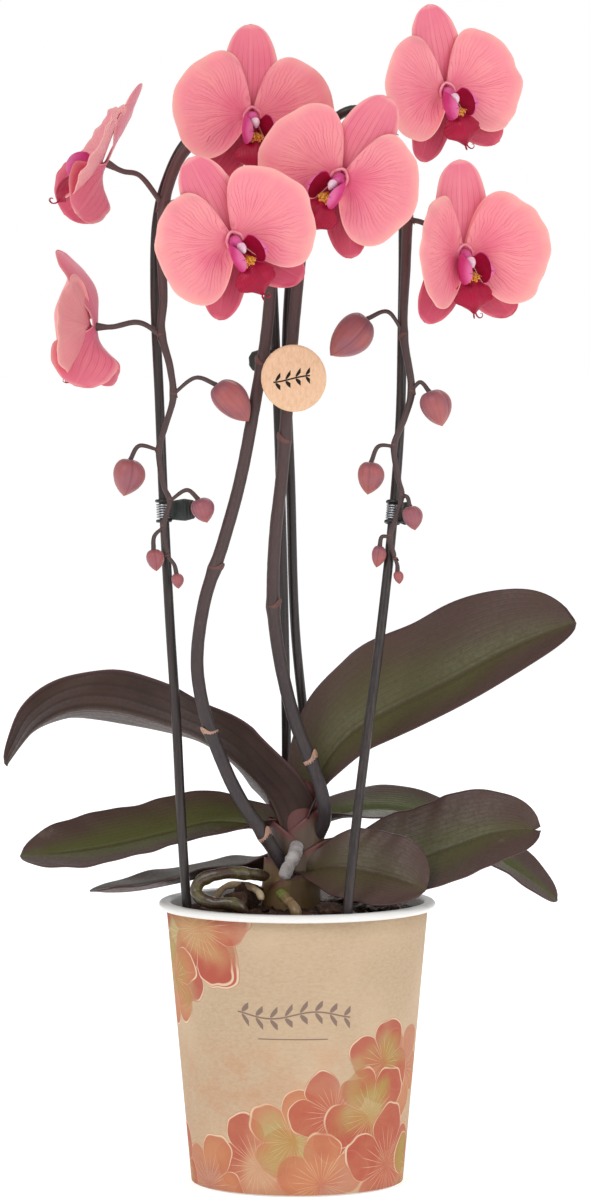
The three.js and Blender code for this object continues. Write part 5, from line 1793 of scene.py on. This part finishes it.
class ORCHID_OT_spikes(OrchidBuild, bpy.types.Operator):
    """Makes the two flower spikes with their stalks and bracts"""

    bl_idname = "orchid.spikes"
    bl_label = "Flower spikes"

    def build(self, scene):
        s = scene.orchid_stem
        tubes, copies = tube_tree(), ring_tree()
        bract = bpy.data.objects.new("bract_source", bract_mesh())
        scene.collection.objects.link(bract)
        for number, (name, line) in enumerate(SPIKES.items()):
            stem = smooth_route(line, 460)
            t = np.linspace(0, 1, len(stem))
            rise = s.base + (s.middle - s.base) * np.minimum(1, t / 0.55)
            radii = (rise + (s.tip - rise) * smoothstep(t, 0.62, 1)) / MM
            routes, nodes = [], []
            for flower in [f for f in FLOWERS if f[6] == number]:
                ends = in_flower(flower, [[0, 0, NECK], [0, 0, SEPAL_BACK + 0.2]])
                side = smooth_route([*flower[7], *ends], 40)
                swell = 1 + 0.55 * smoothstep(np.linspace(0, 1, 40), 0.82, 1.0)
                routes.append((side, s.pedicel / MM * swell))
                nodes.append(side)
            for bud, (spike, stalk, shoulder, tip, _) in BUDS.items():
                if spike == number:
                    away = unit(np.array(tip, float) - shoulder)
                    side = smooth_route([*stalk, np.array(shoulder) + away * 0.4], 24)
                    routes.append((side, s.stalk / MM * np.linspace(0.9, 1.25, 24)))
                    nodes.append(side)
            places = [self.node_at(stem, radii, side) for side in nodes]
            places += [self.bare_node(stem, radii, height) for height in BARE_NODES[name]]
            for index, *_ in places:
                radii = radii * (1 + 0.16 * np.exp(-(((np.arange(len(stem)) - index) / 2.6) ** 2)))
            radii = radii * rounded(1.0, len(stem), start=False, share=0.006)
            mesh = run_tree(
                routes_mesh(
                    name, [(stem, radii), *routes]
                ), tubes, Sides=18, Lumps=0.0003, Finish=look("stem")
            )
            place_piece(f"{name}_stems", mesh, "stem", name)
            mesh = run_tree(self.marks(name, places), copies, Copy=bract, Finish=look("bract"))
            place_piece(f"{name}_bracts", mesh, "stem")
        bpy.data.objects.remove(bract)

    def node_at(self, stem, radii, side):
        """Where a side stalk leaves the stem: index, place, along, outward and radius."""
        index = int(np.argmin(np.linalg.norm(stem - side[0], axis=1)))
        along = unit(stem[min(index + 1, len(stem) - 1)] - stem[index - 1])
        return index, stem[index], along, side[len(side) // 3] - stem[index], radii[index]

    def bare_node(self, stem, radii, height):
        index = int(np.argmax(stem[:, 2] >= height))
        along = unit(stem[index + 1] - stem[index - 1])
        outward = np.array([1.0, -0.6, 0]) if index % 2 else np.array([-1.0, -0.6, 0])
        return index, stem[index], along, outward, radii[index]

    def marks(self, name, places):
        points, turns, sizes = [], [], []
        for _, place, along, outward, radius in places:
            outward = unit(outward - along * np.dot(outward, along))
            basis = Matrix((outward, np.cross(along, outward), along)).transposed()
            points.append((place + [0, 0, RIM]) * MM)
            turns.extend(basis.to_euler())
            sizes.extend([radius * 1.03 * MM] * 3)
        mesh = bpy.data.meshes.new(f"{name}_marks")
        mesh.from_pydata([tuple(p) for p in points], [], [])
        mesh.attributes.new("turn", "FLOAT_VECTOR", "POINT").data.foreach_set("vector", turns)
        mesh.attributes.new("size", "FLOAT_VECTOR", "POINT").data.foreach_set("vector", sizes)
        return mesh


BUD_OUTLINE = np.array([(0, 0), (0.27, 0.04), (0.45, 0.2), (0.5, 0.42), (0.4, 0.68), (0.2, 0.88), (0, 1)])


class ORCHID_OT_buds(OrchidBuild, bpy.types.Operator):
    """Makes the eleven buds"""

    bl_idname = "orchid.buds"
    bl_label = "Buds"

    def build(self, scene):
        for number, (name, (_, _, shoulder, tip, width)) in enumerate(BUDS.items()):
            outline = smooth_route([(r, t, 0) for r, t in BUD_OUTLINE], 34)
            shoulder, tip = np.array(shoulder, float), np.array(tip, float)
            size = np.linalg.norm(tip - shoulder)
            along, one, two = carried_frames(np.array([shoulder, tip]))
            angle = np.linspace(0, TURN, 49)
            seam = np.exp(-((np.sin(1.5 * (angle + number)) / 0.16) ** 2))
            radius = outline[:, :1] * width * (1.02 - 0.075 * seam + 0.02 * np.cos(angle + number))
            radius = np.maximum(radius, 0)
            bow = np.sin(outline[:, 1] * math.pi)[:, None, None] * one[0] * width * 0.05
            points = (
                shoulder
                + along[0] * (outline[:, 1] * size)[:, None, None]
                + one[0] * (radius * np.cos(angle))[..., None]
                + two[0] * (radius * np.sin(angle))[..., None]
                + bow
            )
            maps = stacked(outline[:, 1][:, None], angle[None] / TURN)
            tone = np.broadcast_to(seam[None], points.shape[:2])
            mesh = Shape().grid(points, maps, tone=tone).mesh(f"{name}_skin", [look("bud")])
            place_piece(f"{name}_skin", mesh, "bud", name)


# ------------------------------------------------------------------ flowers


def petal(number, sign, flower, s):
    """Middle surface, thickness and map of one petal, in the flower's own frame."""
    rows, columns = 34, 57
    u = np.linspace(0, 1, rows)[:, None]
    spread = spaced(columns, 0.75)
    which = 1 if sign > 0 else 0
    fold, lift = math.radians(flower[3][which]), flower[4][which]
    phase = number * 7 + (3 if sign > 0 else 0)
    reached = 70 * (0.6 + 0.4 * smoothstep(u, 0.1, 0.72))
    angle = np.radians(lift + reached * spread)
    upper = (1 - 0.24 * spread**2) * np.sqrt(np.maximum(1 - spread**12, 0.015))
    lower = (1 - 0.24 * spread**2) * np.sqrt(np.maximum(1 - spread**8, 0.015))
    outline = np.where(spread > 0, upper, lower)
    outline = outline * (1 + 0.018 * ripple(phase, spread * 2.6))
    reach = 1.2 + (s.reach / MM - 1.2) * u * outline
    across, up = reach * np.cos(angle), reach * np.sin(angle)
    cup = s.cup / MM * u**2 * np.where(spread > 0, 1 - 0.5 * spread**2, 1 + 0.25 * spread**2)
    curl = -2.0 * smoothstep(u, 0.72, 1.0) ** 2 * (0.55 + 0.45 * spread)
    frill = 1.1 * u**4 * ripple(phase + 50, spread * 4.2)
    crease = -0.7 * np.exp(-((spread / 0.09) ** 2)) * u * (1.15 - u)
    ribs = 0.1 * np.cos(spread * 15 * math.pi) * u * (1 - u) * 2
    height = 0.9 + cup + curl + frill + crease + ribs + across * math.sin(fold)
    points = stacked(sign * across * math.cos(fold), up, height)
    thick = s.thickness / MM
    thickness = (thick + (0.32 - thick) * u**0.8) * np.ones_like(spread)
    maps = stacked(u, (spread + 1)[None] / 2)
    if sign < 0:
        points, thickness, maps = points[:, ::-1], thickness[:, ::-1], maps[:, ::-1]
    return points, thickness, maps


def sepal(number, lean, reach, half, bend, roll, s):
    """Middle surface, thickness and map of one sepal that points along an angle from the top."""
    rows, columns = 38, 25
    u = np.linspace(0, 1, rows) ** 0.9
    u = (u * 0.55 + np.sin(u * math.pi / 2) * 0.45)[:, None]
    across = spaced(columns)
    share = 0.34 + 0.66 * smoothstep(u, 0, 0.5)
    close = np.sqrt(np.maximum(1 - np.clip((u - 0.42) / 0.58, 0, 1) ** 2.3, 0.0))
    width = half * share * np.maximum(close, 0.015)
    side = width * across
    swing = math.radians(lean)
    tilt = math.tan(math.radians(roll))
    far = 0.4 + reach * u * (1 - 0.004 * max(bend - 5, 0) * u)
    hollow = 0.1 * side**2 / max(half, 1) * 1.6 * (1 - 0.4 * u)
    crease = -0.5 * np.exp(-((across / 0.12) ** 2)) * u * (1.1 - u)
    frill = 0.6 * np.abs(across) ** 3 * ripple(number + 80, u * 4.5, across)
    height = SEPAL_BACK + 0.45 + bend * u**2 + hollow + crease + frill * u + side * tilt * smoothstep(u, 0, 0.45)
    x = np.sin(swing) * far + np.cos(swing) * side
    y = np.cos(swing) * far - np.sin(swing) * side
    points = stacked(x, y, height)[:, ::-1]
    thick = s.thickness / MM
    thickness = ((thick + (0.38 - thick) * u) * (1 - 0.45 * across**2))[:, ::-1]
    maps = stacked(u, (across + 1)[None] / 2)[:, ::-1]
    return points, thickness, maps


def side_lobe(sign, closed):
    """A side lobe: a rounded flap that stands forward beside the column; closed leans it inwards."""
    rows, columns = 26, 23
    u = np.linspace(0, 1, rows)[:, None]
    across = spaced(columns)
    half = 6.4 * (0.42 + 0.58 * smoothstep(u, 0, 0.5))
    half = half * np.sqrt(np.maximum(1 - np.clip((u - 0.5) / 0.5, 0, 1) ** 2.4, 0.002))
    bowl = 1.8 * across**2 * (0.3 + 0.7 * u)
    inward = 3.0 + 3.6 * np.sin(u * 2.1) - 2.2 * u**2 - bowl
    outward = 2.6 + 8.2 * u**0.85 - bowl
    x = inward * closed + outward * (1 - closed)
    y = -5.0 - 3.0 * u + half * across
    z = 2.6 + (9.4 + 3.6 * closed) * u + half * across * 0.12
    points = stacked(sign * x, y, z)
    thickness = np.broadcast_to(0.95 - 0.5 * u, points.shape[:2])
    maps = stacked(u, (across + 1)[None] / 2)
    if sign > 0:
        return points[:, ::-1], thickness, maps[:, ::-1]
    return points, thickness, maps


def mid_lobe(number):
    """The lip's middle lobe: a rounded anchor-shaped blade that runs forward and down."""
    rows, columns = 34, 33
    u = np.linspace(0, 1, rows)[:, None]
    across = spaced(columns)
    outline = smooth_route(
        [
            (0, 2.4, 0),
            (0.2, 3.4, 0),
            (0.4, 7.4, 0),
            (0.56, 9.3, 0),
            (0.72, 8.6, 0),
            (0.88, 5, 0),
            (1, 0.9, 0)
        ], 80
    )
    half = np.interp(u, outline[:, 0], outline[:, 1]) * (1 + 0.02 * ripple(number + 30, u * 6))
    route = smooth_route(
        [(0, -9, 4), (0, -12.2, 9.0), (0, -16.8, 12.2), (0, -21.6, 12.8), (0, -25.8, 10.8)], rows
    )
    along = unit(np.gradient(route, axis=0))
    face = unit(np.cross(np.array([1.0, 0, 0]), along))
    face = -face * np.sign(face[:, 2:3])
    keel = 1.1 * np.exp(-((across / 0.18) ** 2)) * np.sin(u * math.pi)
    droop = 2.6 * across**2 * smoothstep(u, 0.1, 0.6) + 0.5 * np.abs(across) ** 3 * ripple(
        number, u * 7, across
    )
    points = route[:, None] + np.array([1.0, 0, 0]) * (half * across)[..., None]
    points = points + face[:, None] * (droop - keel)[..., None]
    thickness = np.broadcast_to(1.2 - 0.65 * across**2, points.shape[:2])
    maps = stacked(u, (across + 1)[None] / 2)
    return points, thickness, maps


class ORCHID_OT_flowers(OrchidBuild, bpy.types.Operator):
    """Makes the seven open flowers: sepals, petals, and the lip with its column"""

    bl_idname = "orchid.flowers"
    bl_label = "Flowers"

    def build(self, scene):
        s = scene.orchid_flower
        for number, flower in enumerate(FLOWERS):
            label = number + 1
            mesh = self.sepals(number, flower, s)
            place_piece(f"sepals_{label}", mesh, "sepal", f"flower_{label}_sepals")
            mesh = self.petals(number, flower, s)
            place_piece(f"petals_{label}", mesh, "petal", f"flower_{label}_petals")
            mesh = self.lip(number, flower)
            place_piece(f"lip_{label}", mesh, "lip", f"flower_{label}_lip")

    def sepals(self, number, flower, s):
        shape = Shape()
        lean, curl, forward, twist = flower[5]
        top = sepal(number * 3, lean, s.sepal / MM, 12.2, curl, twist, s)
        right = sepal(number * 3 + 1, 144, s.side_sepal / MM, 10.4, 5.0, -forward, s)
        left = sepal(number * 3 + 2, -144, s.side_sepal / MM, 10.4, 5.0, forward, s)
        for (points, thickness, maps), finish in ((top, 0), (right, 1), (left, 1)):
            shape.sheet(in_flower(flower, points), thickness, maps, looks=(finish, 0))
        return shape.mesh(f"sepals_{number + 1}", [look("sepal"), look("side_sepal")])

    def petals(self, number, flower, s):
        shape = Shape()
        for sign in (1, -1):
            points, thickness, maps = petal(number, sign, flower, s)
            shape.sheet(in_flower(flower, points), thickness, maps, looks=(0, 1))
        return shape.mesh(f"petals_{number + 1}", [look("petal"), look("petal_back")])

    def lip(self, number, flower):
        looks = ["column", "cap", "lip_outside", "lip", "callus", "arch"]
        shape = Shape()

        def here(points):
            return in_flower(flower, points)

        size = flower[2]
        route = smooth_route([(0, -0.4, 0.2), (0, -1.0, 3.0), (0, -2.2, 6.2), (0, -3.8, 8.6)], 24)
        t = np.linspace(0, 1, 24)
        radii = (2.15 + 0.45 * np.sin(t * 5)) * rounded(1.0, 24, share=0.16) * size
        shape.tube(here(route), radii, 24, look=0)
        cap = smooth_route([(0, -2.6, 8.0), (0, -3.8, 9.8), (0, -5.2, 10.6), (0, -6.2, 10.4)], 18)
        swell = np.interp(np.linspace(0, 1, 18), [0, 0.25, 0.6, 0.85, 1], [1.4, 2.1, 1.8, 1.0, 0.3]) * size
        shape.tube(here(cap), swell, 20, look=1)
        arch = smooth_route(
            [(-3.6, -3.0, 2.6), (-3.4, 0.8, 3.2), (0, 3.6, 3.0), (3.4, 0.8, 3.2), (3.6, -3.0, 2.6)], 40
        )
        shape.tube(here(arch), rounded(0.65, 40, share=0.1) * size, 12, look=5)
        for sign in (1, -1):
            points, thickness, maps = side_lobe(sign, 1.0 if sign * flower[1][0] < 0 else 0.12)
            shape.sheet(here(points), thickness, maps, looks=(2, 3))
        points, thickness, maps = mid_lobe(number)
        shape.sheet(here(points), thickness, maps, looks=(3, 3))
        for sign in (1, -1):
            for side, drop, lump in ((1.0, 0.0, 1.25), (2.5, 0.6, 1.0), (1.5, 1.9, 1.1), (0.4, 1.2, 0.9)):
                bump = smooth_route(
                    [
                        (sign * side * 0.7, -8.4 - drop, 7), (sign * side, -9.6 - drop, 10 - drop * 0.2),
                        (sign * side * 1.1, -10.6 - drop, 11.6 - drop * 0.3),
                    ],
                    12,
                )
                swell = np.interp(np.linspace(0, 1, 12), [0, 0.5, 0.8, 1], [0.7, 1, 0.85, 0.2]) * lump * size
                shape.tube(here(bump), swell, 14, look=4)
            for reach in (0.6, 1.0, 1.5):
                hair = smooth_route(
                    [
                        (sign * 1.1, -11.2, 10.4), (sign * (1.4 + reach * 0.6), -10.2 + reach * 0.5, 12.0),
                        (sign * (1.8 + reach), -8.6 - reach, 12.8),
                    ],
                    12,
                )
                shape.tube(here(hair), np.linspace(0.3, 0.08, 12) * size, 8, look=4)
            curl = smooth_route(
                [
                    (sign * 0.3, -25, 10.9), (sign * 0.7, -26.8, 11.6), (sign * 1.3, -27.8, 13.4),
                    (sign * 1.9, -27, 15), (sign * 1.9, -25.8, 14.8), (sign * 1.5, -25.8, 13.9),
                ],
                30,
            )
            shape.tube(here(curl), np.linspace(0.42, 0.14, 30) * size, 8, look=3)
        return shape.mesh(f"lip_{number + 1}", [look(name) for name in looks])


# ------------------------------------------------------------------ clips and tag


class ORCHID_OT_clips(OrchidBuild, bpy.types.Operator):
    """Makes the three clips that hold the spikes to the hoops"""

    bl_idname = "orchid.clips"
    bl_label = "Clips"

    def build(self, scene):
        tree = coil_tree()
        for name, (hoop, inner, height, side, reach) in CLIPS.items():
            route = hoop_route(hoop, 900)
            if inner:
                route = route[::-1]
            index = int(np.argmax(route[:, 2] >= height))
            along = unit(route[index] - route[index - 1])
            across = unit(np.array([side, 0, 0]) - along * along[0] * side)
            depth = np.cross(along, across)
            frame_here = Matrix((across, depth, along)).transposed().to_4x4()
            centre = Matrix.Translation((route[index] + [0, 0, RIM]) * MM)
            coil = run_tree(
                bpy.data.meshes.new("start"),
                tree,
                Turns=6.0,
                Height=0.0068,
                Radius=0.0031,
                Wire=0.00045,
                Finish=look("wire"),
            )
            coil.transform(centre @ frame_here)
            place_piece(f"{name}_spring", coil, "clip")
            mesh = self.handles(reach)
            mesh.transform(centre @ frame_here)
            place_piece(f"{name}_body", mesh, "clip", name)

    def handles(self, reach):
        """Two ribbed wings that meet at a rounded hinge beside the rod."""
        shape = Shape()
        rows, columns = 30, 17
        u = np.linspace(0, 1, rows)[:, None]
        v = np.linspace(-1, 1, columns)
        for sign in (1, -1):
            x = 1.6 + (reach + 1.4) * u
            wide = np.interp(u, [0, 0.1, 0.6, 0.9, 1], [3.0, 3.8, 4.6, 3.8, 1.6])
            gap = 0.9 + 1.7 * np.sin(u * math.pi * 0.9) + 0.16 * np.cos(u * 60) * smoothstep(u, 0.5, 0.6)
            y = sign * (gap - 0.4 * v**2)
            points = stacked(x, y, wide * v)
            maps = stacked(u, (v + 1)[None] / 2)
            shape.sheet(points, 1.1, maps)
        for z in (-4.6, 4.6):
            t = np.linspace(0, TURN * 0.92, 40)
            ring = np.stack([3.2 * np.cos(t + 0.3), 3.2 * np.sin(t + 0.3), np.full(40, z)], axis=1)
            shape.tube(ring, rounded(0.75, 40, share=0.05), 12)
        return shape.mesh("clip_body", [look("clip")], lift=0)


class ORCHID_OT_tag(OrchidBuild, bpy.types.Operator):
    """Makes the card tag with a plain printed sprig"""

    bl_idname = "orchid.tag"
    bl_label = "Tag"

    def build(self, scene):
        rows, columns = 14, 73
        angle = np.linspace(0, TURN, columns)
        u = np.linspace(0, 1, rows)[:, None]
        swell = 1 + 0.16 * np.sin(angle) + 0.1 * np.cos(angle)
        x = 14.5 * swell * np.cos(angle) * u
        z = 15 * swell * np.sin(angle) * u
        y = -0.35 - 0.35 * (x / 14.5) ** 2
        points = np.stack([x, y, z], axis=-1) + TAG_AT
        maps = np.stack([z / 30, x / 30], axis=-1)
        shape = Shape()
        normal = np.array([0, 1.0, 0])
        half = 0.3 * (1 - 0.2 * u[..., None] ** 8)
        shape.grid(points - normal * half, maps, tone=1.0)
        shape.grid(points + normal * half, maps, tone=0.0, flip=True)
        edge = points[-1] + unit(points[-1] - np.array(TAG_AT)) * 0.2
        strip = np.stack([points[-1] - normal * half[-1], edge, points[-1] + normal * half[-1]])
        shape.grid(strip, np.stack([maps[-1]] * 3))
        mesh = shape.mesh("tag_card", [look("card")])
        place_piece("tag_card", mesh, "tag_card", "tag")


# ------------------------------------------------------------------ stage


class ORCHID_OT_stage(OrchidBuild, bpy.types.Operator):
    """Makes the floor, the lights and the camera"""

    bl_idname = "orchid.stage"
    bl_label = "Floor, light and camera"

    def build(self, scene):
        s = scene.orchid_stage
        work = bmesh.new()
        bmesh.ops.create_circle(work, cap_ends=True, cap_tris=True, segments=96, radius=14.0)
        mesh = bpy.data.meshes.new("floor")
        work.to_mesh(mesh)
        work.free()
        mesh.materials.append(look("floor"))
        floor = bpy.data.objects.new("floor", mesh)
        scene.collection.objects.link(floor)
        self.light(scene, "key_light", (-1.3, -1.9, 2.3), 1.5, s.key)
        self.light(scene, "fill_light", (1.9, -1.5, 1.2), 1.7, s.fill)
        self.light(scene, "back_light", (0.5, 2.1, 1.9), 1.6, s.fill)
        world = bpy.data.worlds.new("pale_room")
        world.use_nodes = True
        background = world.node_tree.nodes["Background"]
        background.inputs[0].default_value = (1.0, 1.0, 1.0, 1.0)
        background.inputs[1].default_value = s.sky
        room = Tree(world.node_tree)
        seen = room.node("ShaderNodeLightPath").outputs["Is Camera Ray"]
        white = room.math("MULTIPLY", seen, 1.0 - s.sky)
        room.put(background.inputs[1], room.math("ADD", white, s.sky))
        scene.world = world
        camera = bpy.data.cameras.new("camera")
        camera.lens = s.lens
        camera.sensor_width = 36.0
        camera.clip_end = 50.0
        holder = bpy.data.objects.new("camera", camera)
        holder.location = (-0.001, -2.7, 0.44)
        aim = Vector((-0.001, 0, 0.268)) - holder.location
        holder.rotation_euler = aim.to_track_quat("-Z", "Y").to_euler()
        scene.collection.objects.link(holder)
        scene.camera = holder
        scene.view_settings.view_transform = "Standard"

    def light(self, scene, name, place, size, power):
        lamp = bpy.data.lights.new(name, "AREA")
        lamp.shape = "DISK"
        lamp.size = size
        lamp.energy = power
        holder = bpy.data.objects.new(name, lamp)
        holder.location = place
        aim = Vector((0, 0, 0.25)) - holder.location
        holder.rotation_euler = aim.to_track_quat("-Z", "Y").to_euler()
        scene.collection.objects.link(holder)


# ------------------------------------------------------------------ add-on

SETTINGS = {
    "orchid_pot": OrchidPotSettings,
    "orchid_bark": OrchidBarkSettings,
    "orchid_leaf": OrchidLeafSettings,
    "orchid_stem": OrchidStemSettings,
    "orchid_flower": OrchidFlowerSettings,
    "orchid_stage": OrchidStageSettings,
}
OPERATORS = [
    ORCHID_OT_stage,
    ORCHID_OT_pot,
    ORCHID_OT_bark,
    ORCHID_OT_roots,
    ORCHID_OT_crown,
    ORCHID_OT_leaves,
    ORCHID_OT_hoops,
    ORCHID_OT_spikes,
    ORCHID_OT_buds,
    ORCHID_OT_flowers,
    ORCHID_OT_clips,
    ORCHID_OT_tag,
]


class ORCHID_PT_panel(bpy.types.Panel):
    """Lists the orchid's settings and the operators that build it"""

    bl_idname = "ORCHID_PT_panel"
    bl_label = "Potted orchid"
    bl_space_type = "VIEW_3D"
    bl_region_type = "UI"
    bl_category = "Orchid"

    def draw(self, context):
        for operator in OPERATORS:
            self.layout.operator(operator.bl_idname)
        for name, group in SETTINGS.items():
            box = self.layout.box()
            box.label(text=group.__doc__)
            for prop in group.__annotations__:
                box.prop(getattr(context.scene, name), prop)


def register():
    for group in [*SETTINGS.values(), *OPERATORS, ORCHID_PT_panel]:
        bpy.utils.register_class(group)
    for name, group in SETTINGS.items():
        setattr(bpy.types.Scene, name, PointerProperty(type=group))


def unregister():
    for name in SETTINGS:
        delattr(bpy.types.Scene, name)
    for group in reversed([*SETTINGS.values(), *OPERATORS, ORCHID_PT_panel]):
        bpy.utils.unregister_class(group)


def main():
    register()
    for operator in OPERATORS:
        group, name = operator.bl_idname.split(".")
        getattr(getattr(bpy.ops, group), name)()
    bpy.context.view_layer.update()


if __name__ == "__main__":
    main()
